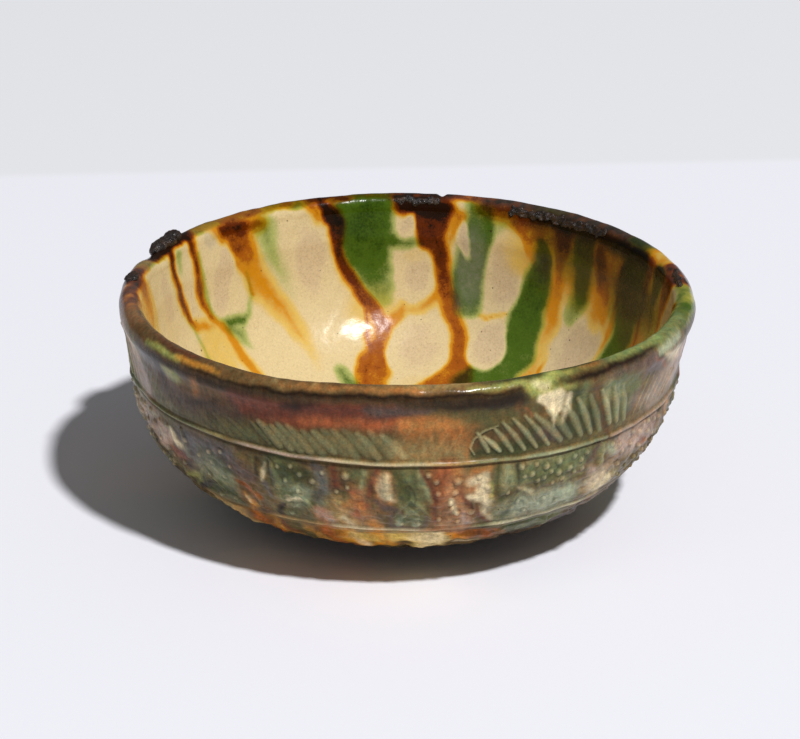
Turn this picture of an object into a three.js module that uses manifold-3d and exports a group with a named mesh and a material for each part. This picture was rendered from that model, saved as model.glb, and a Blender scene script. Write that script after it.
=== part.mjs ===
// A small press-moulded earthenware bowl with a lead glaze splashed in cream, green and amber.
// Sizes are millimetres and angles are degrees. +Z is up, and the origin is the middle of the face
// that the bowl rests on. Azimuths run anticlockwise from +X, seen from above, and the front faces -Y.
import * as THREE from "three";
import { mergeVertices } from "three/addons/utils/BufferGeometryUtils.js";
import Module from "manifold-3d";

// The bowl, glaze included
const LIP_RADIUS = 48.2; // widest, on the lip
const BELLY_HEIGHT = 26.1; // from the resting face up to the raised line round the side
const BAND_HEIGHT = 12.4; // from the raised line up to the top of the lip
const GLAZE = 0.4; // thickness of the coat

// Clay wall
const WALL = 3.3; // thickness of the side
const FLOOR = 4.6; // height of the cavity's floor
const BELLY_INSET = 1.9; // the side at the raised line stands in from the lip's edge
const NECK_INSET = 1.0; // so does the groove under the lip
const NECK_DROP = 4.7; // the groove's place below the top of the lip

// The underside is one curve: it leaves the base almost flat and arrives upright at the raised line
const BASE_RADIUS = 15.5;
const UNDERSIDE_RUN = 13.9; // how far the flat beginning pulls the curve outwards
const UNDERSIDE_RISE = 5.4; // and upwards
const BELLY_DROP = 18.2; // how far down the upright end pulls the curve
const BELLY_TUCK = 1.2; // and how much it leans in

// The resting face is a bare ring round a shallow hollow
const BASE_RING = 4.5;
const BASE_HOLLOW = 0.9;
const BARE_HEIGHT = 1.7; // the coat stops this far above the resting face

// The cavity is one curve: down beside the wall, then level across the floor
const CAVITY_PLUMB = 18; // how far the upright beginning pulls the curve down
const CAVITY_LEVEL = 30; // how far the level end pulls it outwards

// Rounded lip
const LIP_WIDTH = 3.9;
const LIP_CROWN = 2.6; // rise of the half-oval on top of the lip
const LIP_CURL = 30; // the lip's outer side turns under by this angle before the groove

// Lines raised by the mould round the side: place above the resting face, width up the side, and rise
const RIDGE_LINE = { height: BELLY_HEIGHT, width: 1.1, rise: 0.5 };
const UPPER_PETAL_LINE = { height: 13.0, width: 0.8, rise: 0.35 };
const LOWER_PETAL_LINE = { height: 11.5, width: 0.8, rise: 0.35 };
const LINES = [RIDGE_LINE, UPPER_PETAL_LINE, LOWER_PETAL_LINE];

// Kiln grit that melted onto the lip: rounded grains side by side, with their place round the rim,
// how far they lean from the top of the lip towards the cavity, and their length, width and rise
const SEAT_GAP = 0.3;
const GRIT = {
  grit_lump_left: { azimuth: 147.5, lean: 0, length: 5.6, width: 3.0, rise: 1.4, grains: 3 },
  grit_lump_far_left: { azimuth: 175, lean: 0, length: 2.8, width: 2.2, rise: 0.9, grains: 2 },
  grit_crust_back: { azimuth: 87.5, lean: 35, length: 8.5, width: 2.2, rise: 0.8, grains: 5 },
  grit_crust_back_right: { azimuth: 53, lean: 40, length: 24, width: 1.8, rise: 0.7, grains: 11 },
  grit_lump_right: { azimuth: 6, lean: 10, length: 7, width: 2.2, rise: 0.7, grains: 4 },
};

// Facets
const AROUND = 60;
const SIDE_STEPS = 9;
const LIP_STEPS = 6;
const CAVITY_STEPS = 9;
const LEAST_STEP = 0.25; // points of the side closer than this are left out

const wasm = await Module();
wasm.setup();

const vec = (r, z) => new THREE.Vector2(r, z);
const radians = THREE.MathUtils.degToRad;

// Bare outside of the clay, in half section
const clayLipRadius = LIP_RADIUS - GLAZE;
const bowlHeight = BELLY_HEIGHT + BAND_HEIGHT;
const neckHeight = bowlHeight - NECK_DROP;
const belly = vec(clayLipRadius - BELLY_INSET, BELLY_HEIGHT);
const neck = vec(clayLipRadius - NECK_INSET, neckHeight);
const underside = new THREE.CubicBezierCurve(
  vec(BASE_RADIUS, 0),
  vec(BASE_RADIUS + UNDERSIDE_RUN, UNDERSIDE_RISE),
  vec(belly.x - BELLY_TUCK, BELLY_HEIGHT - BELLY_DROP),
  belly,
);
const band = new THREE.LineCurve(belly, neck);

// The direction that faces out of the clay, for a curve that climbs the side.
const outOf = (along) => vec(along.y, -along.x).normalize();

// The bare outside at a height, found by halving, with the direction out of it.
function sideAt(height) {
  const curve = height < BELLY_HEIGHT ? underside : band;
  let low = 0;
  let high = 1;
  for (let halving = 0; halving < 40; halving++) {
    const middle = (low + high) / 2;
    if (curve.getPoint(middle).y < height) low = middle;
    else high = middle;
  }
  return { point: curve.getPoint(low), out: outOf(curve.getTangent(low)) };
}

// Outside of the clay with its raised lines, from the edge of the resting face up to the groove.
function sidePoints() {
  const plain = { rise: 0 };
  const stops = new Map([[0, plain], [BARE_HEIGHT, plain], [neckHeight, plain]]);
  for (const line of LINES) {
    stops.set(line.height - line.width / 2, plain);
    stops.set(line.height, line);
    stops.set(line.height + line.width / 2, plain);
  }
  const named = [...stops.keys()];
  for (let step = 1; step < SIDE_STEPS; step++) {
    const height = neckHeight * (step / SIDE_STEPS) ** 1.4; // closer together where the side turns most
    if (named.every((stop) => Math.abs(stop - height) > LEAST_STEP)) stops.set(height, plain);
  }
  const heights = [...stops.keys()].sort((a, b) => a - b);
  return heights.map((height) => {
    const { point, out } = sideAt(height);
    return point.addScaledVector(out, stops.get(height).rise);
  });
}

// A point on the half-oval of the lip, at an angle above level on the outer side. The coat adds its thickness.
function lipAt(angle, thickness = 0) {
  const across = LIP_WIDTH / 2 - GLAZE + thickness;
  const up = LIP_CROWN - GLAZE + thickness;
  const middle = vec(LIP_RADIUS - LIP_WIDTH / 2, bowlHeight - LIP_CROWN);
  return vec(middle.x + across * Math.cos(radians(angle)), middle.y + up * Math.sin(radians(angle)));
}

function lipPoints() {
  const overTheTop = Array.from({ length: LIP_STEPS + 1 }, (_, i) => lipAt((180 * i) / LIP_STEPS));
  return [lipAt(-LIP_CURL), ...overTheTop];
}

// Down the inside of the wall and across the floor to the middle.
function cavityPoints() {
  const { point, out } = sideAt(BELLY_HEIGHT);
  const inner = point.addScaledVector(out, -WALL);
  const top = vec(inner.x + BELLY_INSET - NECK_INSET, neckHeight - LIP_CROWN);
  const cavity = new THREE.CubicBezierCurve(
    top,
    vec(inner.x, top.y - CAVITY_PLUMB),
    vec(CAVITY_LEVEL, FLOOR),
    vec(0, FLOOR),
  );
  return cavity.getPoints(CAVITY_STEPS);
}

// The clay's whole outline, from the resting face over the lip to the middle of the floor
const side = sidePoints();
const lip = lipPoints();
const outline = [...side, ...lip, ...cavityPoints()];
const coatStart = side.findIndex((point) => point.y > BARE_HEIGHT - LEAST_STEP);
const lipStart = side.length - 1;
const cavityStart = side.length + lip.length;
const middleOfFloor = outline.length - 1;

// An outline point moved out of the clay, square to the stretches on both sides of it.
function raised(i, distance) {
  if (i === middleOfFloor) return vec(0, FLOOR + distance);
  const before = outline[i].clone().sub(outline[i - 1]).normalize();
  const after = outline[i + 1].clone().sub(outline[i]).normalize();
  return outline[i].clone().addScaledVector(outOf(before.add(after)), distance);
}

// A solid turned round the Z axis from a closed half section.
function turned(section) {
  const geometry = new THREE.LatheGeometry([...section, section[0]], AROUND);
  return geometry.rotateX(Math.PI / 2);
}

function clayBody() {
  const hollowRadius = BASE_RADIUS - BASE_RING;
  const hollow = [
    vec(0, BASE_HOLLOW),
    vec(hollowRadius - BASE_HOLLOW, BASE_HOLLOW),
    vec(hollowRadius, 0),
  ];
  return turned([...hollow, ...outline]);
}

// The coat over the outline's points from first to last, face to face with the clay.
function coat(first, last) {
  const indexes = Array.from({ length: last - first + 1 }, (_, i) => first + i);
  const skin = indexes.map((i) => raised(i, GLAZE));
  const clay = indexes.map((i) => outline[i]).reverse();
  return turned([...skin, ...clay]);
}

function solidOf(geometry) {
  geometry.deleteAttribute("normal");
  geometry.deleteAttribute("uv");
  const merged = mergeVertices(geometry);
  const triVerts = new Uint32Array(merged.index.array);
  const vertProperties = merged.attributes.position.array;
  return new wasm.Manifold(new wasm.Mesh({ numProp: 3, vertProperties, triVerts }));
}

function geometryOf(solid) {
  const mesh = solid.getMesh();
  const geometry = new THREE.BufferGeometry();
  geometry.setAttribute("position", new THREE.BufferAttribute(mesh.vertProperties, 3));
  geometry.setIndex(new THREE.BufferAttribute(mesh.triVerts, 1));
  return geometry;
}

// The glazed lip, swollen by the gap under the grit: what the underside of each lump is cut to.
function gritSeat() {
  const seat = [];
  for (let i = lipStart; i <= cavityStart; i++) seat.push(raised(i, GLAZE + SEAT_GAP));
  return solidOf(turned(seat));
}

// One grain on the lip. It leans with the lip, and its middle lies on the glaze.
function grain({ lean, width, rise }, azimuth, length, size) {
  const place = lipAt(90 + lean, GLAZE);
  const shape = new THREE.IcosahedronGeometry(1, 1);
  shape.scale(width / 2, length / 2, SEAT_GAP + rise * size);
  shape.rotateY(-radians(lean));
  shape.translate(place.x, 0, place.y);
  shape.rotateZ(radians(azimuth));
  return solidOf(shape);
}

function gritLump(lump, seat) {
  const pitch = lump.length / (lump.grains + 1);
  const turnPerPitch = THREE.MathUtils.radToDeg(pitch / lipAt(90 + lump.lean, GLAZE).x);
  const grains = Array.from({ length: lump.grains }, (_, i) => {
    const fromMiddle = i - (lump.grains - 1) / 2;
    const size = i % 2 ? 0.7 : 1;
    return grain(lump, lump.azimuth + fromMiddle * turnPerPitch, 2 * pitch, size);
  });
  return geometryOf(grains.reduce((whole, next) => whole.add(next)).subtract(seat));
}

// Colours of the clay, the three stretches of glaze and the grit
const finish = (color, roughness) => new THREE.MeshStandardMaterial({ color, roughness, metalness: 0 });
const bareClay = finish("#d9bd9a", 0.85);
const outerGlaze = finish("#74634a", 0.25);
const lipGlaze = finish("#4a3a1c", 0.15);
const innerGlaze = finish("#cdb079", 0.15);
const burntGrit = finish("#2b2523", 0.8);

function piece(name, geometry, material) {
  const mesh = new THREE.Mesh(geometry, material);
  mesh.name = name;
  return mesh;
}

const bowl = new THREE.Group();
bowl.add(piece("clay_body", clayBody(), bareClay));
bowl.add(piece("outer_glaze", coat(coatStart, lipStart), outerGlaze));
bowl.add(piece("lip_glaze", coat(lipStart, cavityStart), lipGlaze));
bowl.add(piece("inner_glaze", coat(cavityStart, middleOfFloor), innerGlaze));
const seat = gritSeat();
for (const [name, lump] of Object.entries(GRIT)) bowl.add(piece(name, gritLump(lump, seat), burntGrit));

export default bowl;
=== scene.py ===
"""A small mould-pressed earthenware bowl under running cream, amber and green lead glazes.

The wall is one half section. Every place on it is named by its azimuth, in degrees, and its run, the
millimetres along the glaze from the crown of the lip: above zero outside, below zero inside.
"""

import math
import random

import bmesh
import bpy
import numpy as np
from bpy.props import FloatProperty, FloatVectorProperty, IntProperty, PointerProperty
from mathutils import Matrix, Vector


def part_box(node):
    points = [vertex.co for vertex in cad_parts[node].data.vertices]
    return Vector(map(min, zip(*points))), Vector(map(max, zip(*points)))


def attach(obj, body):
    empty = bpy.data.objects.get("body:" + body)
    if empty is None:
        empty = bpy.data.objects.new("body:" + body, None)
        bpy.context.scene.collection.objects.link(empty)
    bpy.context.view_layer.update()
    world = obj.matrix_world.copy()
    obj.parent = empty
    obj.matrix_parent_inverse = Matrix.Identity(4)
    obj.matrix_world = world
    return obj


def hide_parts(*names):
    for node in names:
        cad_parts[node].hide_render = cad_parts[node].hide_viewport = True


bl_info = {
    "name": "Three-colour glazed bowl",
    "version": (1, 0, 0),
    "blender": (4, 5, 0),
    "location": "3D View > Sidebar > Bowl",
    "description": "Builds a mould-pressed earthenware bowl with running lead glazes",
    "category": "Add Mesh",
}

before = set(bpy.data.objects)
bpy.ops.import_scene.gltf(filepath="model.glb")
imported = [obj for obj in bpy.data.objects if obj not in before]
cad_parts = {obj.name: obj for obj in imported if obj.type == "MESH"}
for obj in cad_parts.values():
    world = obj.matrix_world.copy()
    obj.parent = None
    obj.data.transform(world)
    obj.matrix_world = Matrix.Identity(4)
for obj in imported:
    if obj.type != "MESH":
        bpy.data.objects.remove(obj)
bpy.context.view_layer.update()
LIP_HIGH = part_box("lip_glaze")[1]

MM = 0.001
FULL_TURN = 2 * math.pi
# Degrees in a radian.
DEGREES = 57.3
# How far hand-run lines stray, in millimetres.
WANDER = 0.35
# Millimetres between two points of the section.
SECTION_STEP = 0.05
# Steps of the first spin, whose rings are then split.
COARSE_STEPS = 62
# Radius of the middle of the lip, and millimetres in a degree round the belly.
LIP_MIDDLE, BELLY_DEGREE = 46.25, 0.81
# A cluster of more grains than this is a crust, of small and rough grains.
FEW = 6
# Azimuths of the first frond, the first leaf and the first petal, and how many leaves hang round the belly.
FIRST_FROND, FIRST_LEAF, FIRST_PETAL, LEAVES = 222, 266, 271, 15
# Azimuths between which the pearls are listed one by one, the least gap between two scattered ones in
# millimetres, and how many times a place for one is tried.
PLACED_FROM, PLACED_TO, PEARL_GAP, PEARL_TRIES = 212, 322, 2.1, 2600
# Azimuth of the dip in the lip beside the burnt lump.
DIP = 159
# Where the table ends and the backdrop begins, in metres behind the bowl, and how much it slants.
EDGE_NEAR, EDGE_FAR, EDGE_SLANT = 0.168, 0.173, -0.075
# Half the table's width in metres.
TABLE_HALF = 4.0
# The camera's fit to the photograph: its rise and roll in degrees, its focal length in pixels, the width
# of the picture in pixels, and the point it looks at in millimetres.
CAMERA_RISE, CAMERA_ROLL, FOCAL_PIXELS, PICTURE_WIDTH = 21.956, 0.263, 4268.9, 800
CAMERA_AIM = (-1.087, 0, 23.475)


def tint(red, green, blue):
    """A colour named in display steps from 0 to 255, as the linear values that Blender keeps."""
    steps = (red / 255, green / 255, blue / 255)
    return tuple(c / 12.92 if c <= 0.04045 else ((c + 0.055) / 1.055) ** 2.4 for c in steps)


def length(name, description, default):
    """A length property in metres, given in millimetres."""
    return FloatProperty(
        name=name, description=description, default=default * MM, min=0, unit="LENGTH", precision=5
    )


def brightness(name, description, default):
    """A property for how bright a light is."""
    return FloatProperty(name=name, description=description, default=default, min=0)


def colour(name, description, *steps):
    """A colour property given in display steps."""
    return FloatVectorProperty(
        name=name, description=description, default=tint(*steps), size=3, min=0, max=1, subtype="COLOR"
    )


class BowlShape(bpy.types.PropertyGroup):
    """The half section of the bowl."""

    lip_radius: length("Lip radius", "From the axis to the outside of the lip", LIP_HIGH[0] / MM)
    height: length("Height", "From the resting face to the crown of the lip", LIP_HIGH[2] / MM)
    lip_width: length("Lip width", "Thickness of the rolled lip with its glaze", 3.9)
    lip_crown: length("Lip crown", "Height of the lip's roll above its middle", 2.6)
    belly_height: length("Belly height", "Height of the moulded ridge above the resting face", 26.1)
    belly_inset: length("Belly inset", "How far the clay at the ridge stands inside the lip", 2.3)
    neck_inset: length("Neck inset", "How far the clay under the lip stands inside it", 1.4)
    neck_drop: length("Neck drop", "From the crown of the lip down to the neck", 4.7)
    wall: length("Wall", "Thickness of the clay wall at the ridge", 3.3)
    floor: length("Floor", "Height of the clay floor inside", 4.6)
    base_radius: length("Base radius", "Radius of the resting face", 15.5)
    base_ring: length("Base ring", "Width of the resting ring", 4.5)
    base_hollow: length("Base hollow", "Depth of the hollow inside the resting ring", 0.9)
    bare_height: length("Bare height", "Height up to which the clay stays without glaze", 1.7)
    glaze: length("Glaze", "Thickness of the glaze coats", 0.4)


class BowlRelief(bpy.types.PropertyGroup):
    """Heights and widths of the moulded ornament."""

    ridge_rise: length("Ridge rise", "Height of the ridge round the belly", 0.42)
    ridge_width: length("Ridge width", "Width of the ridge round the belly", 0.8)
    frond_rise: length("Frond rise", "Height of the fronds' bars and ribs", 0.38)
    pearl_rise: length("Pearl rise", "Height of the pearls below the ridge", 0.42)
    pearl_radius: length("Pearl radius", "Radius of the pearls", 0.55)
    leaf_rise: length("Leaf rise", "Height of the leaves between the pearls", 0.38)
    line_rise: length("Line rise", "Height of the double line under the belly", 0.34)
    petal_rise: length("Petal rise", "Height of the petals under the double line", 0.75)
    frond_count: IntProperty(name="Fronds", description="Fronds round the upper band", default=6, min=1)
    petal_count: IntProperty(name="Petals", description="Petals round the underside", default=13, min=1)


class BowlColours(bpy.types.PropertyGroup):
    """Colours of the glazes, the clay and the grit."""

    cream: colour("Cream", "Clear glaze where it lies thick over pale slip", 220, 198, 150)
    bisque: colour("Bisque", "Clear glaze where it lies thin over the body", 212, 188, 148)
    honey: colour("Honey", "A trace of iron in the glaze", 218, 182, 92)
    amber: colour("Amber", "Iron glaze, thin", 204, 134, 20)
    rust: colour("Rust", "Iron glaze, middling", 160, 84, 12)
    umber: colour("Umber", "Iron glaze, thick", 96, 38, 4)
    pitch: colour("Pitch", "Iron glaze, pooled nearly black", 34, 16, 6)
    leaf_thin: colour("Thin green", "What thin copper glaze lets through", 200, 228, 176)
    leaf: colour("Green", "What copper glaze lets through", 84, 128, 44)
    leaf_deep: colour("Deep green", "What thick copper glaze lets through", 40, 74, 16)
    film: colour("Film", "Dull film on the weathered outside", 150, 142, 134)
    # Also laid at the band's left edge as painted reflection of the bright table.
    chalk: colour("Chalk", "Outside: pale slip showing through", 220, 202, 160)
    sand: colour("Sand", "Outside: pale tan", 172, 140, 88)
    sage: colour("Sage", "Outside: grey-green of the frond bars", 136, 136, 98)
    mist: colour("Mist", "Outside: milky green", 158, 164, 134)
    # Also laid along the lip's outer face, partly as a painted highlight.
    lime: colour("Lime", "Outside: yellow-green", 158, 160, 88)
    meadow: colour("Meadow", "Outside: fresh green on the lip", 142, 160, 88)
    moss: colour("Moss", "Outside: middling green", 98, 104, 68)
    bottle: colour("Bottle", "Outside: dark green", 62, 66, 36)
    olive: colour("Olive", "Outside: olive brown", 92, 82, 48)
    # Also laid along the lip's outer face, partly as a painted highlight.
    ochre: colour("Ochre", "Outside: strong yellow-brown", 198, 134, 52)
    amber_wash: colour("Amber wash", "Outside: soft amber", 168, 112, 60)
    flame: colour("Flame", "Outside: orange-red", 152, 84, 50)
    maroon: colour("Maroon", "Outside: red-brown", 104, 56, 40)
    plum: colour("Plum", "Outside: purple-brown", 92, 74, 66)
    slate: colour("Slate", "Outside: blue-grey", 90, 84, 84)
    # Also laid at the band's left and right edges as painted reflection of the bright table.
    lilac: colour("Lilac", "Outside: pinkish grey", 180, 154, 138)
    tan: colour("Tan", "Outside: dull orange-brown", 166, 120, 82)
    bronze: colour("Bronze", "Outside: brown of the lip", 110, 84, 52)
    earth: colour("Earth", "Outside: brown", 94, 68, 42)
    # Nearly black: dark glaze, and also painted shade under the lip's roll, under the ridge and on the
    # underside.
    soot: colour("Soot", "Outside: nearly black", 36, 26, 20)
    clay: colour("Clay", "Bare earthenware", 205, 180, 152)
    grit: colour("Grit", "Burnt grit stuck to the lip", 22, 14, 12)


class BowlStage(bpy.types.PropertyGroup):
    """The table, the light and the camera."""

    table: colour("Table", "Pale table that the bowl stands on", 243, 243, 251)
    backdrop: colour("Backdrop", "Pale cloth behind the table", 236, 237, 241)
    lamp_distance: length("Lamp distance", "From the bowl to the lamp", 6000)
    lamp_size: length("Lamp size", "Across the lamp's round face", 430)
    lamp_level: brightness("Lamp level", "Light of the lamp on the table", 0.82)
    sky_level: brightness("Sky level", "Even light from all round", 0.15)
    camera_distance: length("Camera distance", "From the camera to the bowl", 720)


class Section:
    """The wall in half section, as radius and height against the run, in millimetres."""

    def __init__(self, shape):
        def mm(name):
            return getattr(shape, name) / MM

        glaze = mm("glaze")
        lip = mm("lip_radius")
        top = mm("height")
        belly = mm("belly_height")
        belly_r = lip - mm("belly_inset")
        middle = lip - mm("lip_width") / 2
        crown = mm("lip_crown")
        base = mm("base_radius")
        inner_r = belly_r - mm("wall")
        floor = mm("floor")
        cavity_top = top - mm("neck_drop") - 2.6
        under = bezier((base, 0), (base + 13.9, 5.4), (belly_r - 1.2, belly - 18.2), (belly_r, belly), 500)
        band = np.linspace((belly_r, belly), (lip - mm("neck_inset"), top - mm("neck_drop")), 120)[1:]
        outside = swell(np.vstack([under, band]), glaze)[::-1]
        cavity = bezier((inner_r + 0.9, cavity_top), (inner_r, cavity_top - 18), (30, floor), (0, floor), 500)
        cavity = swell(cavity, glaze)
        cavity[-1, 0] = 0
        turn = np.radians(np.linspace(180, -30, 140))
        roll = np.stack([middle + mm("lip_width") / 2 * np.cos(turn), top - crown + crown * np.sin(turn)], 1)
        path = np.vstack([cavity[::-1], roll, outside])
        steps = np.hypot(*np.diff(path, axis=0).T)
        path = path[np.concatenate([[True], steps > 1e-6])]
        along = arc(path)
        even = np.linspace(0, along[-1], int(along[-1] / SECTION_STEP))
        path = np.stack([np.interp(even, along, path[:, k]) for k in (0, 1)], 1)
        neck = np.argmin(np.hypot(*(path - outside[0]).T))
        near_neck = hump((np.arange(len(path)) - neck) / 60)[:, None]
        path = soften(path, 11)
        path = path + (soften(path, 61) - path) * near_neck
        along = arc(path)
        self.run = along - along[np.argmax(path[:, 1])]
        self.radius, self.height = path.T
        slope = np.gradient(path, axis=0)
        slope /= np.hypot(*slope.T)[:, None]
        self.out_r, self.out_z = soften(np.stack([-slope[:, 1], slope[:, 0]], 1), 9).T
        self.first, self.last = self.run[0], self.run[-1]
        self.ridge = self.outside_at(belly)
        self.base_edge = self.outside_at(mm("bare_height"))
        self.top = top

    def outside_at(self, height):
        """The run of the outside at a height."""
        outer = self.run > 5
        return float(np.interp(-height, -self.height[outer], self.run[outer]))

    def at(self, run, rise=0.0):
        """Radius and height of places on the wall, lifted off it by rise."""
        radius = np.interp(run, self.run, self.radius) + rise * np.interp(run, self.run, self.out_r)
        height = np.interp(run, self.run, self.height) + rise * np.interp(run, self.run, self.out_z)
        return radius, height


def bezier(a, b, c, d, count):
    """Points of a cubic curve."""
    t = np.linspace(0, 1, count)[:, None]
    a, b, c, d = (np.array(p, float) for p in (a, b, c, d))
    return (1 - t) ** 3 * a + 3 * (1 - t) ** 2 * t * b + 3 * (1 - t) * t**2 * c + t**3 * d


def swell(path, amount):
    """A path moved to its right-hand side."""
    slope = np.gradient(path, axis=0)
    slope /= np.hypot(*slope.T)[:, None]
    return path + amount * np.stack([slope[:, 1], -slope[:, 0]], 1)


def arc(path):
    """How far along a path each of its points lies."""
    return np.concatenate([[0], np.cumsum(np.hypot(*np.diff(path, axis=0).T))])


def soften(path, width):
    """A path with its corners eased, its ends kept."""
    half = width // 2
    eased = path.copy()
    for column in range(path.shape[1]):
        padded = np.pad(path[:, column], half, mode="reflect", reflect_type="odd")
        eased[:, column] = np.convolve(padded, np.ones(width) / width, mode="valid")
    eased[0], eased[-1] = path[0], path[-1]
    return eased


def ease(value):
    """A smooth step from 0 to 1."""
    value = np.clip(value, 0, 1)
    return value * value * (3 - 2 * value)


def hump(value):
    """A round-topped bump between -1 and 1."""
    return np.where(np.abs(value) < 1, 0.5 + 0.5 * np.cos(np.pi * np.clip(value, -1, 1)), 0.0)


def turned(azimuth, start):
    """The signed angle from start round to azimuth, in degrees."""
    return (azimuth - start + 180) % 360 - 180


def ripple(places, size, seed, waves=9):
    """A smooth random field from about -1 to 1 over places in millimetres, with swells of one size."""
    rng = random.Random(seed)
    total = np.zeros(len(places))
    for _ in range(waves):
        way = Vector((rng.gauss(0, 1), rng.gauss(0, 1), rng.gauss(0, 1))).normalized()
        pitch = FULL_TURN / (size * rng.uniform(0.7, 1.5))
        total += np.sin(places @ np.array(way) * pitch + rng.uniform(0, FULL_TURN))
    return total / math.sqrt(waves * 0.5) * 0.6


def ripples(places, *swells):
    """Ripples added up. Each is its height in millimetres, its size and its seed."""
    return sum(height * ripple(places, size, seed) for height, size, seed in swells)


def spread(azimuth, radius, height):
    """Places from their azimuth, radius and height."""
    turn = np.radians(azimuth)
    return np.stack([radius * np.cos(turn), radius * np.sin(turn), height], 1)


class Wall:
    """The places of a piece's vertices on the wall."""

    def __init__(self, section, azimuth, run):
        self.section = section
        self.true_azimuth = azimuth
        self.true_run = run
        radius, height = section.at(run)
        self.radius = np.maximum(radius, 0.5)
        self.places = spread(azimuth, radius, height)
        self.azimuth = (azimuth + self.waver(3) / self.radius * DEGREES) % 360
        self.run = run + self.waver(53)
        self.low, self.high = run.min() - 1, run.max() + 1

    def blank(self):
        """Nothing yet at each place."""
        return np.zeros(len(self.run))

    def waver(self, seed):
        """How far a hand-run line strays, in millimetres."""
        swells = ((0.75, 5.0, seed), (0.24, 1.8, seed + 7), (0.1, 0.8, seed + 9))
        return WANDER * sum(share * ripple(self.places, size, number) for share, size, number in swells)

    def near(self, points, reach, drift):
        """Which places lie within reach of a line's box."""
        azimuth, run = (self.azimuth, self.run) if drift else (self.true_azimuth, self.true_run)
        middle = points[0][0]
        angles = [turned(p[0], middle) for p in points]
        runs = [p[1] for p in points]
        low, high = min(runs) - reach, max(runs) + reach
        if high < self.low or low > self.high:
            picked = np.zeros(0, int)
        else:
            picked = np.nonzero((run > low) & (run < high))[0]
        across = turned(azimuth[picked], middle)
        margin = reach / self.radius[picked] * DEGREES
        kept = (across > min(angles) - margin) & (across < max(angles) + margin)
        picked = picked[kept]
        return picked, across[kept], run[picked], middle

    def legs(self, points, reach, drift):
        """Each leg of a line: the places near it, their gaps to it, and its half width and strength there."""
        for a, b in zip(points, points[1:]):
            picked, across, run, middle = self.near((a, b), max(a[2], b[2]) + reach, drift)
            if not len(picked):
                continue
            scale = self.radius[picked] * math.pi / 180
            x = turned(across, turned(a[0], middle)) * scale
            y = run - a[1]
            bx = turned(b[0], a[0]) * scale
            by = b[1] - a[1]
            h = np.clip((x * bx + y * by) / np.maximum(bx * bx + by * by, 1e-9), 0, 1)
            gap = np.hypot(x - h * bx, y - h * by)
            yield picked, gap, a[2] + (b[2] - a[2]) * h, a[-1] + (b[-1] - a[-1]) * h

    def line(self, points, soft, drift=True):
        """Strength of a line drawn on the wall. Each point is azimuth, run, half width and strength."""
        result = self.blank()
        for picked, gap, half, strength in self.legs(points, soft, drift):
            value = ease((half + soft * 0.5 - gap) / soft) * strength
            result[picked] = np.maximum(result[picked], value)
        return result

    def dome(self, points, rise):
        """Height of a round-backed bar along a line. Each point is azimuth, run and half width."""
        result = self.blank()
        for picked, gap, half, _ in self.legs(points, 0, False):
            gap = gap / np.maximum(half, 0.05)
            value = np.clip(1 - gap * gap, 0, 1) ** 0.9 * rise
            result[picked] = np.maximum(result[picked], value)
        return result

    def oval(self, azimuth, run, half_across, half_down, lean=0.0, soft=0.35, drift=True):
        """Strength of an oval spot, 1 inside it. Half sizes are in millimetres and lean in degrees."""
        reach = max(half_across, half_down) * (1 + soft)
        picked, across, down, _ = self.near([(azimuth, run)], reach, drift)
        result = self.blank()
        x = across * self.radius[picked] * math.pi / 180
        y = down - run
        c, s = math.cos(math.radians(lean)), math.sin(math.radians(lean))
        far = np.hypot((x * c + y * s) / half_across, (y * c - x * s) / half_down)
        result[picked] = ease((1 + soft * 0.5 - far) / soft)
        return result

    def ovals(self, spots, softer=1.0):
        """The strength of each spot of a table inside, whose runs are below the crown."""
        for azimuth, run, across, down, lean, strength, soft in spots:
            yield strength * self.oval(azimuth, -run, across, down, -lean, soft * softer)


def settle(azimuth, radius, height, top):
    """The bowl's small sags and nicks: places as the kiln left them, moved alike on every piece."""
    upper = ease((height - 25) / (top - 27))
    near_lip = ease((height - top + 6) / 6)
    front = ease((turned(azimuth, 243) + 3) / 26) * ease((3 - turned(azimuth, 340)) / 44)
    dip = 0.85 * hump(turned(azimuth, DIP) / 8.5) + 0.25 * hump(turned(azimuth, 187) / 7)
    nick = 0.5 * hump(turned(azimuth, 82.3) / 1.3) * ease((height - top + 1.4) / 1.2)
    lower = ease((height - 2) / 8) * ease((32 - height) / 6)
    flat = (0.75 + 0.45 * ease((24 - height) / 8)) * lower
    flat = flat * ease((turned(azimuth, 330) + 55) / 70) * ease((75 - turned(azimuth, 330)) / 70)
    wave = 0.06 * np.cos(np.radians(azimuth * 3 + 110)) + 0.05 * np.cos(np.radians(azimuth * 7 + 20))
    inward = flat + 0.25 * hump(turned(azimuth, DIP) / 8.5) * near_lip
    radius = radius + (wave * upper - inward) * ease((radius - 20) / 9)
    return radius, height + 0.9 * front * upper - dip * near_lip - nick


def spin(bm, verts, edges, steps):
    """Turns an outline once round the upright axis."""
    bmesh.ops.spin(
        bm, geom=verts + edges, cent=(0, 0, 0), axis=(0, 0, 1), angle=FULL_TURN, steps=steps, use_merge=True
    )


def smooth_mesh(name, bm):
    """The mesh of a finished form, with smooth faces."""
    for face in bm.faces:
        face.smooth = True
    mesh = bpy.data.meshes.new(name)
    bm.to_mesh(mesh)
    bm.free()
    return mesh


def read_places(mesh):
    """The azimuths, radii and heights of a mesh's vertices."""
    places = np.empty(len(mesh.vertices) * 3)
    mesh.vertices.foreach_get("co", places)
    x, y, height = places.reshape(-1, 3).T / MM
    return np.degrees(np.arctan2(y, x)) % 360, np.hypot(x, y), height


def move_places(mesh, azimuth, radius, height):
    """Puts a mesh's vertices at new places."""
    mesh.vertices.foreach_set("co", (spread(azimuth, radius, height) * MM).ravel())
    mesh.update()


def take_layer(mesh, name):
    """The values of a vertex layer, which is then taken off the mesh."""
    layer = mesh.attributes[name]
    values = np.empty(len(mesh.vertices))
    layer.data.foreach_get("value", values)
    mesh.attributes.remove(layer)
    return values


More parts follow.
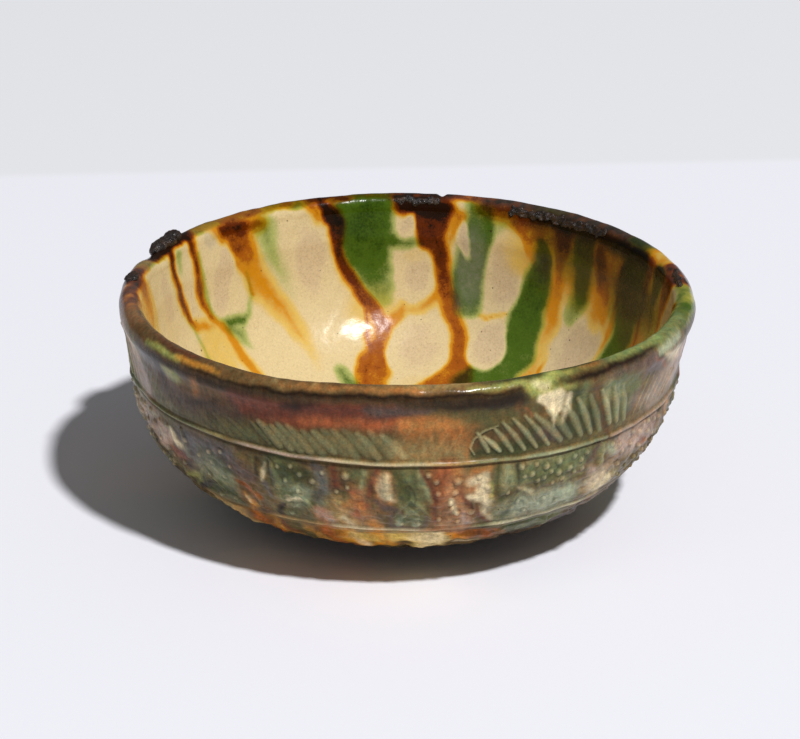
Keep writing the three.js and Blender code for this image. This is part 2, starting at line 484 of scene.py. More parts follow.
def spun_shell(section, runs, steps, depth, hidden):
    """A closed shell of glaze: the section between two runs, spun a full turn and split round its rings."""
    bm = bmesh.new()
    run_layer = bm.verts.layers.float.new("run")
    skin_layer = bm.verts.layers.float.new("skin")
    back = np.interp(np.linspace(1, 0, hidden), np.linspace(0, 1, len(runs)), runs)
    verts = []
    for run, rise in [(run, 0.0) for run in runs] + [(run, -depth) for run in back]:
        radius, height = section.at(run, rise)
        vert = bm.verts.new((max(float(radius), 0) * MM, 0, float(height) * MM))
        vert[run_layer] = run
        vert[skin_layer] = 1 if rise == 0 else 0
        verts.append(vert)
    edges = [bm.edges.new((a, b)) for a, b in zip(verts, verts[1:] + verts[:1])]
    spin(bm, verts, edges, COARSE_STEPS)
    rings = [
        e
        for e in bm.edges
        if abs(e.verts[0][run_layer] - e.verts[1][run_layer]) < 1e-5
        and e.verts[0][skin_layer] == e.verts[1][skin_layer]
        and e.calc_length() > 1e-9
    ]
    bmesh.ops.subdivide_edges(bm, edges=rings, cuts=steps // COARSE_STEPS - 1, use_grid_fill=True)
    return bm, run_layer, skin_layer


def finish_shell(name, bm, run_layer, skin_layer, section, depth, moulded, seams):
    """The mesh of a shell, moulded and settled. Gives the mesh and its relief."""
    on_axis = [v for v in bm.verts if math.hypot(v.co.x, v.co.y) < 1e-6]
    for v in on_axis:
        v.co.x = v.co.y = 0
    bmesh.ops.remove_doubles(bm, verts=on_axis, dist=1e-6)
    bmesh.ops.recalc_face_normals(bm, faces=bm.faces)
    for edge in bm.edges:
        a, b = edge.verts
        if a[skin_layer] > 0.5 and b[skin_layer] > 0.5:
            edge.smooth = not any(max(abs(a[run_layer] - s), abs(b[run_layer] - s)) < 1e-4 for s in seams)
        edge.seam = not edge.smooth
    mesh = smooth_mesh(name, bm)
    run, skin = take_layer(mesh, "run"), take_layer(mesh, "skin")
    azimuth, off_axis, _ = read_places(mesh)
    relief = Relief(Wall(section, azimuth, run), moulded)
    rise = np.where(skin > 0.5, np.maximum(relief.height, 0.15 - depth), -depth)
    radius, height = settle(azimuth, *section.at(run, rise), section.top)
    radius[off_axis < 1e-4] = 0
    move_places(mesh, azimuth, radius, height)
    return mesh, relief


def paint(mesh, amounts):
    """Keeps how much of each glaze lies at every vertex, and the colour of the washes."""
    for name, amount in amounts.items():
        amount = np.clip(amount, 0, 1.5).astype(np.float32)
        if amount.ndim == 2:
            layer = mesh.attributes.new(name, "FLOAT_COLOR", "POINT")
            shades = np.hstack([amount, np.ones((len(amount), 1), np.float32)])
            layer.data.foreach_set("color", shades.ravel())
        else:
            layer = mesh.attributes.new(name, "FLOAT", "POINT")
            layer.data.foreach_set("value", amount)
    mesh.update()


def place(name, mesh, node, material):
    """Puts a finished piece in the scene, in the place of its CAD node."""
    mesh.materials.append(material)
    piece = bpy.data.objects.new(name, mesh)
    bpy.context.collection.objects.link(piece)
    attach(piece, "root")
    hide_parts(node)


def gather(values):
    """Overlapping washes of one glaze run together, the strongest one showing."""
    return sum(np.abs(v) ** 4 for v in values) ** 0.25


def rows(text):
    """The rows of a table: commas part them, and blanks part their numbers."""
    return [tuple(float(number) for number in row.split()) for row in text.split(",")]


def strokes(text):
    """The strokes of a table: a pigment, if it has one, and a softness, a colon, then the points."""
    table = []
    for stroke in text.split(";"):
        head, points = stroke.split(":")
        *pigment, soft = head.split()
        table.append((*pigment, float(soft), rows(points)))
    return table


# Runs of glaze inside. Each is a softness and its points: azimuth, run below the crown, half width, strength.
INNER_IRON = strokes("""
2.4: 176 2 2.6 .62, 175 7 1.7 .5, 174 12 .8 .25;
2: 171.5 4 .6 .4, 171 9 .5 .34, 169.5 15 .4 .2, 167 24 .4 .12;
.8: 155.5 2 .8 .94, 155.8 6 .8 .88, 155 10 .75 .86, 153.5 13 .7 .82, 152 15 .7 .7, 150.5 16.5 .6 .55;
.9: 147 2 .8 .86, 146.5 5 .75 .8, 147 8 .75 .8, 146.5 11 .75 .78, 146 14 .7 .74, 144.5 16 .75 .64,
    142 18 .8 .52, 140.5 20 .9 .46, 139.8 23 1 .44, 139 26 1 .42, 137.5 30 .9 .42, 135 38 1 .4,
    131 48 .9 .38, 124 55 .7 .3;
1.6: 150.5 16.6 .7 .42, 147.5 17.4 .9 .42, 144 18.4 .6 .36;
3: 143 19 .6 .3, 140 24 1.2 .24, 139 30 1.4 .2;
.9: 137.5 4 .3 .66, 133.5 9 .25 .64, 131 12 .25 .62, 129.8 15 .25 .55;
2: 137 2.2 1 .86, 131 2.6 1.6 .8, 126 3 1.2 .62;
2.2: 132.6 3 3.4 .8, 132 5 2.8 .7, 130.6 8 2.2 .56, 129 11 2 .44, 127 14 2.1 .37, 124.5 17 2.1 .32,
    121.5 20 1.9 .28, 119 24 1.7 .22, 117.5 28 1.4 .15, 117 31 .8 .08;
1.4: 127.8 13 .3 .48, 124 17 .4 .46, 120.4 22 .4 .42, 118 26 .3 .34;
1.2: 109.4 2.2 .9 1.1, 107.8 3.6 1.5 1.2, 107 5 .9 1.1;
1.2: 112 2 .8 .62, 110.8 4 .5 .56;
.85: 106.6 5 1.2 1.1, 106.5 7.5 1.1 1, 106.3 10 1 .98, 105.5 12.5 1 .94, 104 15 1 .88, 102 17.5 1.1 .78,
    100 19.5 1.4 .7, 98 21.5 1.5 .62, 96.5 24 1.6 .58, 96.5 27 1.6 .55, 98.5 29 1.9 .6, 100 31 2.4 .62,
    101.5 34 2.6 .58, 103 38 2.4 .55, 106 46 1.7 .5, 112 54 1.2 .45;
.8: 103.5 16 .2 .82, 101 19.5 .3 .78, 100.5 29 .4 .74, 104 35 .5 .7;
1.6: 91 20.5 .7 .36, 93.5 23.5 1.5 .46, 95 26.5 .8 .44;
1.3: 91 2 1.6 1.15, 86 2.6 2 1.2, 81 3.2 1.4 1.1;
1.1: 84.2 5 3 .94, 84 8 2.4 .86, 82.6 10 1.7 .84, 81.6 12.5 1.3 .84, 81 15 1.2 .8, 80.5 17.5 1.4 .72,
    79 20 1.6 .66, 77.5 22.5 1.4 .66, 76 25 1.3 .66, 75 27.5 1.4 .66, 74 30 1.7 .64, 74 32.5 2.6 .62,
    75.5 35 3.6 .6, 78 40 4 .56, 80 47 2.6 .5, 76 55 1.2 .42;
1.4: 81.5 17.5 1 .5, 84 19.8 .9 .42, 87 21.5 .8 .32, 91 21.6 .8 .3;
1.2: 78 4.5 1 .56, 78.6 7 .7 .48, 79.5 9 .3 .4;
.8: 84 6 .5 .9, 82 11 .3 .82, 81 15 .3 .8;
1.8: 62 3.6 2.8 .66, 60 5.5 2.6 .54, 60 8 2 .47, 58.5 11 .9 .38;
.9: 64.5 20.5 .3 .6, 68.5 21.6 .3 .55, 71 21.2 .2 .4;
1.7: 51.5 4 2.2 .86, 51 8 1.5 .7, 51 12 1.5 .57, 52 16 1.5 .46, 51 20 1.5 .38, 50.5 25 1.3 .25,
    50 30 1.4 .3, 52 38 1.6 .46, 58 48 1.3 .42, 64 55 .8 .34;
5: 63 3.6 1.6 .6, 54 6 3 .58, 46 6 3.2 .54, 36 7 3.6 .58, 27 9 5.2 .54, 16 9 4 .5;
3: 72 2 1.2 .8, 60 2.2 1.9 .96, 50 2.6 2 .96, 42 2.6 2 .92, 32 2.6 2 .92, 22 2.6 1.8 .88, 12 2.6 1.4 .7;
1.9: 39 6 1.6 .88, 38 9 1.7 .74, 37 12 2 .58, 36 16 1.8 .45, 35 21 1.2 .32;
1.8: 31.4 6 1 .78, 31.2 12 .8 .68, 31.8 18 .5 .6, 33.5 25 .5 .5, 35 34 .7 .5, 40 46 .6 .45;
1: 47.9 26 .15 .3, 47.6 28.6 .3 .62, 47.2 32 .4 .6;
1.5: 19.8 4 1.4 .86, 19.8 9 .9 .76, 19.6 15 .8 .68, 19.8 24 .8 .6, 22 36 .9 .52, 28 48 .7 .45;
1.6: 8 3 2.6 .85, 7.5 7 1.5 .66, 7 12 1 .55, 6 20 .8 .45;
2: 13 8 2.4 .22, 12 16 2 .16;
1.3: 351 2 1.8 .8, 352 8 1.3 .66, 353 15 1 .58, 351 24 1.3 .5, 347 34 1.8 .46, 344 44 1.4 .42,
    352 53 .9 .36;
1.2: 327 2 1.2 .95, 328 7 .8 .84, 327 13 .8 .76, 324 20 1.2 .66, 321 28 1.6 .6, 318 36 1.8 .56,
    312 46 1.3 .5, 300 54 .9 .42;
1.5: 291 2 3 .8, 291 6 2.3 .58, 289 11 1.7 .48, 288 17 1.8 .45, 290 24 1.6 .42, 292 31 1.1 .3;
1.1: 265 2 1 1, 266 7 .7 .86, 266 13 .7 .8, 263 19 1 .7, 260 26 1.4 .6, 259 34 2 .56, 262 43 1.6 .5,
    270 52 1 .42;
1.4: 238 2 2.2 .85, 238 6 1.4 .68, 236 12 1.1 .6, 236 20 1.3 .5, 234 29 1.5 .46, 230 38 1.6 .44,
    222 48 1.1 .4, 212 55 .7 .32;
1.2: 205 2 1.6 .84, 204 8 .9 .72, 203 15 .8 .62, 201 23 1.1 .52, 199 32 1.2 .45, 195 42 1 .4;
1.6: 187 2 1.8 .6, 186 8 1.2 .48, 185 15 .8 .36
""")
INNER_COPPER = strokes("""
1: 152.6 3 .6 .4, 152.6 6.5 .4 .26;
1: 157.2 3 .3 .2, 157 9 .25 .14, 155 13 .25 .18, 151.5 17 .3 .34, 151 24 .3 .3;
1.1: 145.2 5 .3 .34, 145.4 10 .3 .36, 144.2 14 .35 .42, 141.5 17 .5 .52, 138.5 18.6 .7 .6, 135.2 19 .8 .62,
    132 18.2 .4 .44, 130.2 15.5 .25 .34, 131.2 11 .2 .26;
1.8: 139 19.5 .9 .48, 136.5 21.5 1 .42, 135 24 .5 .22;
3: 124.5 4 1.5 .4, 123.5 8 1.4 .34, 121.5 12 1.2 .24, 119 17 .8 .14;
1.6: 100 2 4.2 .74, 99.8 5 4 .76, 99.4 8 3.9 .72, 99 11 3.4 .64, 98 14 2.8 .54, 96.5 17 1.9 .42,
    95.4 19.4 1 .32;
1.3: 93 8.8 1.2 .62, 89.6 9.2 .7 .56, 86.8 9 .3 .4;
.8: 100.2 12.5 .25 .34, 98 16.5 .3 .34, 97 18.5 .25 .24;
1.4: 111 32.5 .9 .42, 109.5 36 1.2 .5, 112 44 1.4 .46, 118 52 1 .4;
1.2: 73.2 2 2.2 .5, 73 5 2.3 .56, 73 8 2.4 .58, 74.4 12 2.4 .6, 75 15 2.4 .62, 75 18 2.3 .6, 74.2 20 1.8 .5;
1: 71.4 4 .6 .6, 71.4 9 .4 .55, 72.3 14 .4 .5, 73 19 .5 .5;
2: 67 4 2.2 .24, 66 9 1.8 .16;
1.3: 57 7 1 .7, 56 10 1.6 .82, 56.5 13 1.9 .8, 57.5 16 2.3 .76, 58.4 20 2.9 .68, 57.8 24 3 .62,
    58 28 3.4 .58, 60.5 31 3.6 .58, 64.5 33.4 3.2 .58, 69 35 2.4 .55, 66 42 2.6 .5, 68 50 1.6 .42,
    84 57 1 .34;
5: 60 4 1.4 .3, 54 6 3 .4, 46 8 3.4 .46, 36 7 2.6 .26, 27 11 4.4 .62, 15 9 3 .5;
3: 57 2.6 1.8 .6, 48 2.8 1.8 .6, 38 2.8 1.8 .6, 26 2.8 1.8 .7;
1.3: 45 5 2.2 .76, 44 10 1.8 .66, 44 14 1.8 .56, 45.5 18 1.4 .36;
1.6: 26.5 5 3.4 .86, 26 12 3 .78, 26 20 2.6 .66, 27.5 28 2.2 .56, 31 38 1.6 .48, 40 49 1 .4;
1.4: 14 3 2 .84, 14 8 1.4 .6, 13.5 13 .8 .4;
2.2: 12 9 2.6 .3, 12 18 1.6 .2;
1.6: 339 2 3.2 .8, 339 8 2.6 .72, 338 14 2.2 .62, 336 21 2.2 .56, 334 29 1.8 .5, 332 36 1 .36;
1.4: 306 2 2.6 .75, 307 8 2 .66, 307 15 1.8 .6, 305 22 2.3 .58, 304 30 2.6 .56, 302 38 2.2 .52,
    292 48 1.4 .44, 276 56 1 .36;
1.7: 275 2 2.4 .5, 276 8 2.2 .56, 277 15 2 .5, 276 22 1.4 .36;
1.4: 250 2 2.8 .78, 250 8 2.2 .7, 249 15 1.8 .62, 247 23 2.4 .58, 246 31 2.4 .54, 243 40 1.8 .48,
    236 50 1.1 .4;
1.4: 220 2 2.4 .55, 219 9 2 .6, 218 17 2 .58, 216 26 2.2 .54, 213 36 1.8 .5, 204 46 1.2 .42;
1.4: 195 2 1.5 .5, 194 9 1.1 .44, 192 18 1.3 .42, 190 28 1.4 .4, 184 40 1.3 .42, 176 50 1 .36
""")
# Spots that the runs go round: azimuth, run below the crown, half sizes, lean, strength, softness.
INNER_CREAM = rows("""
138.5 11.2 2.6 6.6 -18 .95 .3, 88 15.5 3.2 4.6 0 1 .42, 90 6.6 1.3 2.4 -25 .95 .4,
76.3 8.4 1.1 3.2 12 1 .35, 65.8 13.2 3.4 7.4 0 .97 .3, 87 29 5.4 6.6 0 1 .16, 66.6 27 3.6 5 0 1 .2,
39.5 23.5 4.6 6.6 -14 .95 .3, 150 12 .5 3.6 -8 .9 .4, 300 14 2.8 5.5 0 .95 .3, 336 40 3.6 4.2 0 .95 .25,
271 29 4.4 6.4 0 1 .2, 241 16 2.6 5 8 .95 .3, 228 27 2.6 4.6 -6 .95 .3, 207 38 3.2 4.4 0 .95 .3,
151 42 3.4 4.6 0 .95 .3, 121 42 2.8 4.2 0 .95 .3, 92 45 3 4 0 1 .3, 57 43 2.6 3.8 0 .95 .3,
9 34 3.2 5.6 0 .95 .3, 316 50 2.4 2.8 0 .9 .35, 249 51 2.4 2.8 0 .9 .35, 20 56 2.2 2.6 0 .9 .35
""")
# Pale yellow washes inside: azimuth, run below the crown, half sizes, lean, strength, softness.
INNER_HONEY = rows("""
44 8 15 8 0 .4 1.1, 22 12 8 9 0 .3 .9, 178 7 5 8 0 .3 .9, 37 13 3.4 6 0 .34 .9, 99 21 5 5 0 .2 1.4,
147 23 4.8 6.5 -8 .19 .8, 124 27 4.4 4.5 0 .05 .9, 163 18 2.2 9 0 .08 .9, 42 33 4 4 0 .14 .9,
86 36.5 4.5 2.6 0 .1 .9, 88 11.5 2.6 1.6 0 .1 .9, 300 28 5 8 0 .12 .9, 214 20 4 8 0 .1 .9,
0 62 7 7 0 .17 1.7, 180 57 6 6 0 .15 1.7, 95 60 4 4 0 .34 1.6, 262 60 5 4 0 .3 1.6
""")
# Where the pale body shows through thin glaze inside.
INNER_BARE = rows("""
138.5 11 2.2 5.6 -18 1 .8, 161.5 9 2 5.5 0 .8 .8, 113.5 11 2.8 6 0 .9 .9, 87.5 15 2 3 0 1 .9,
90 6.4 .9 1.8 -25 .8 .8, 65.5 13 2.8 6 0 1 .7, 76.3 8 .8 2.4 12 .9 .8, 86.5 28 3.8 5 0 .7 .8,
66.4 26.6 2.7 3.9 0 1 .7, 39.5 23.5 3.6 5.4 -14 .8 .8, 150 12 .3 2.8 -8 .9 .8, 300 14 2.2 4.6 0 1 .8,
336 40 2.6 3.2 0 .9 .8, 271 29 3.4 5.2 0 1 .8, 241 16 2 4 8 .9 .8, 228 27 2 3.6 -6 1 .8,
207 38 2.4 3.4 0 .9 .8, 151 42 2.6 3.4 0 .9 .8, 9 34 2.4 4.4 0 .9 .8, 121 42 2 3.2 0 .8 .8,
92 45 2.2 3 0 .9 .8
""")

# Colour of the lip: azimuth, run, half sizes, iron, copper, film, softness.
LIP_DABS = rows("""
200 0 8 2.2 .72 .05 .15 .8, 216 1.6 8 .9 .2 .22 0 .7, 232 1.2 9 1.2 .5 .02 .1 .8,
250 .8 9 1.6 .56 .04 .1 .8, 268 .8 9 1.3 .5 .05 .08 .8, 284 .6 7 1.5 .48 .4 0 .8,
297 1 3.5 2 .04 .32 0 .7, 309 .9 7 1.9 .2 .62 0 .8, 325 .8 8 1.9 .12 .56 0 .8, 343 .6 8 1.8 .14 .6 0 .8,
357 .2 5 1.8 .16 .42 0 .8, 8 -.4 5 2.4 .92 .05 .05 .7, 20 -.2 4 2 .3 .1 0 .8, 28 -.2 4 2.4 .3 .9 .05 .7,
43 -.4 9 2.4 1 .3 .12 .8, 57 -.6 4 2.2 .5 .85 .1 .7, 66 -.4 6 2.4 1.04 .2 .14 .8,
76 -.4 4 2 .76 .1 .1 .8, 87 -.6 5.5 2.4 1.1 .1 .03 .8, 99 -.5 4.5 2.2 .42 .6 0 .8,
108 -.8 4 2.2 .95 .2 0 .7, 118 -.4 5 2.2 .5 .36 0 .8, 130 -.4 6 2.2 .62 .2 .05 .8,
141 -.2 4 2.2 .42 .4 .1 .8, 149 -.2 3.4 2.6 1.3 .05 0 .6, 155 .2 4.4 2.2 1.35 .05 0 .6,
160.5 .6 3 1.6 1.2 .1 0 .6, 159 -2.4 5 .9 .22 .6 0 .6, 166 0 3 2.4 .4 .42 .3 .8,
174 0 5 2.6 .95 .05 .1 .8, 140 -3 1.6 1 .8 .1 .35 .8, 186 0 6 2.4 .8 .1 .2 .8
""")

# Washes of pigment outside, laid one over another. Each is a pigment, a softness and the points of its
# stroke: azimuth, run, half width and strength.
# The lilac and chalk strokes at the left edge, azimuths 193 to 205, and the lilac strokes at the right edge,
# azimuths 323 to 346, are painted reflection of the bright table where the band turns away at a grazing
# angle.
# The nearly black strokes just under the lip, runs 3 to 5, are partly painted shade under the lip's roll and
# partly dark glaze; the one at run 15 is painted shade under the ridge, with pooled glaze.
BAND_WASHES = strokes("""
lilac 3: 193 4 3 1, 197 9 3.5 1, 203 12 1.8 .9;
slate 3: 206 5 2.4 .9, 214 6 2.6 .9, 216 11 2.4 .6;
earth 2: 211 9 1.2 .6, 220 8.4 1.6 .7, 228 9 1.6 .7;
earth 3: 223 5.5 3 .8, 233 6 3 .9;
sage 3: 210 11.4 2.2 .4, 224 11.2 2.2 .5, 234 11.2 2 .3;
maroon 2.6: 235 6 2.8 1, 250 5.6 2.6 1, 268 5.2 2.2 1;
flame 1.8: 242 8 .6 .7, 250 7.5 1 .9, 266 7.4 1.1 .9, 272 7 .9 .8;
olive 2: 236 11.4 2 .9, 250 11.2 2.2 1, 266 11.4 2 1;
amber_wash 3: 271 8 1.8 1, 280 8.6 2.4 1;
sand 2.4: 269 11.6 1.6 .8, 281 12 1.4 .8;
olive 2.6: 283 5.4 1.8 1, 292 6.4 2.4 1, 285 10 1.6 .8;
bottle 2.6: 288 11 1.8 .7, 297 10.8 2.4 .9, 308 11 2.2 .9;
bottle 2.2: 304.6 5.6 2 .9, 309 9 2.2 .9;
moss 2.4: 314 5.4 2 .9, 320 7 2.6 .9, 318 11 2.2 .8;
plum 2.6: 326 4.6 1.8 .9, 332 8 1.4 .8;
lilac 3: 331 11 2.4 .7, 344 9.5 3.4 .9;
plum 2.2: 212 9.4 1.6 .8, 222 10 2.2 .85, 233 9 2.2 .7;
lilac 1.8: 198.6 4.6 1.4 .8, 200.4 9 1.6 .9, 204.5 12 1.3 .6;
chalk 1.6: 198 5 .7 .45, 198.8 9 .8 .35;
slate 1.6: 205.6 4.2 1.2 .8, 213 4 1 .9, 221 4.4 .7 .6;
soot 1.8: 206 4.2 1 .8, 211.5 4.6 1.4 .95, 213 8 .9 .6;
earth 1.6: 214 9.6 .9 .5, 219 12 .6 .5;
soot 1.3: 206 12.8 .3 .4, 215 10.6 .3 .35, 224 9.2 .5 .5, 229 7.4 .4 .4;
lime 1.5: 215.6 5.4 1.3 .6, 218 5.6 1.3 .6;
sage 1.2: 216.6 6 1 .6, 217.6 6.4 .6 .6;
amber_wash 1.6: 224.2 4.6 .7 .7, 223.8 7.4 .5 .6;
soot 1.8: 227 3.6 1.2 .7, 232 3.6 1 .75;
earth 1.8: 231 5.4 1.4 .7, 233 8.4 1.2 .6;
maroon 1.8: 236 5 1.3 .9, 241 6 2 1, 247 7 1.2 .9;
maroon 1: 252.5 5 .9 .95, 258 4.8 1 1, 263 4.8 1 1;
soot 1.4: 246 4.8 .9 .75, 249 4.4 1.2 .85, 252.5 3.8 .6 .7;
plum 1.4: 263 4.9 1 .9, 274 4.8 .8 .9;
amber_wash 1.8: 269.5 7 .8 .8, 276 7.4 1.3 .9, 281 8 1.2 .8;
amber_wash .8: 282.4 9.6 .2 .7, 281.6 12.6 .4 .8;
olive 1.8: 275 5.4 .6 .6, 281 6.2 1.2 .8, 289 7 1.2 .85;
soot 1.6: 268 3.2 .3 .6, 276 3.8 .8 .85, 283 4.2 1.1 .9, 291.6 4.2 1.1 .9;
earth 1.2: 291.5 5.4 .6 .85, 294 7.4 .4 .8;
flame .6: 293.4 5.8 .12 .7, 295.2 7.4 .1 .7;
bottle 1.2: 304.2 3.4 .3 .8, 304.8 8 .4 .8;
moss 1.2: 306.4 4 .8 .9, 307 8 .8 .9;
sage 1.3: 312 4 .7 .85, 313.2 8 .8 .9;
mist 1.6: 315.4 6 .5 .5, 317 9 .5 .6;
lime 1.2: 294.2 3 .6 .85, 297 3.2 1 .9, 303.6 3.4 .4 .5;
chalk .8: 296.6 4.2 .9 1, 299.6 5 1.7 1, 300.2 7 1.3 1, 300 8.8 .5 1, 300.3 9.6 .2 .8;
chalk .8: 302.4 4.8 .4 1, 302.6 7.4 .5 1, 302.4 9.2 .2 .8;
plum 1.6: 320 2.4 .3 .7, 326 3.6 1.1 .85, 331 7.6 .9 .8;
flame .8: 327 3.4 .2 .6, 334 7 .35 .7;
mist 1: 328.6 2.6 .5 .85, 333 2.6 .6 .8;
chalk 1.4: 331 3.8 .3 .8, 335 5 .8 .85, 341 6.4 1.3 .8;
lilac 2.4: 323 10.4 1.6 .5, 335 10.5 2.4 .7;
lilac 2.4: 338 9 1.5 .8, 346 9 2.8 .9;
olive 1.8: 226 11.5 1.4 .6, 238 11.5 1.6 .75;
moss 1.2: 231 12 .8 .5, 238 12 1 .6;
bottle 1: 239.2 9.6 .4 .8, 242.6 12.6 .6 .85;
bottle 1: 239 13 .3 .6, 250 13.1 .3 .6;
earth 1.6: 284.5 10.6 1 .8, 292 9.8 1.2 .85;
bottle 1.4: 283 12.4 .8 .75, 290 12.4 1.1 .9, 297 12.6 .9 .8;
plum 1.4: 297 10.8 .9 .8, 302 11.4 1.2 .85;
bottle 1.4: 303.5 10.8 1.4 .7, 312 11 1.6 .7;
moss 1.6: 316 10.5 1.4 .6, 320 11 1.2 .5;
earth 1: 308.8 2.8 .5 .9, 310.4 6 .5 .9, 313.6 11 .5 .9, 315.6 15.6 .35 .9;
soot .9: 203 13.3 .1 .3, 222 13.3 .2 .6, 236 13.3 .1 .6, 252 13.3 .1 .3;
soot .7: 234 14.9 .2 .6, 246 15 .3 .85, 258 14.9 .2 .7, 270 14.9 .1 .4
""")
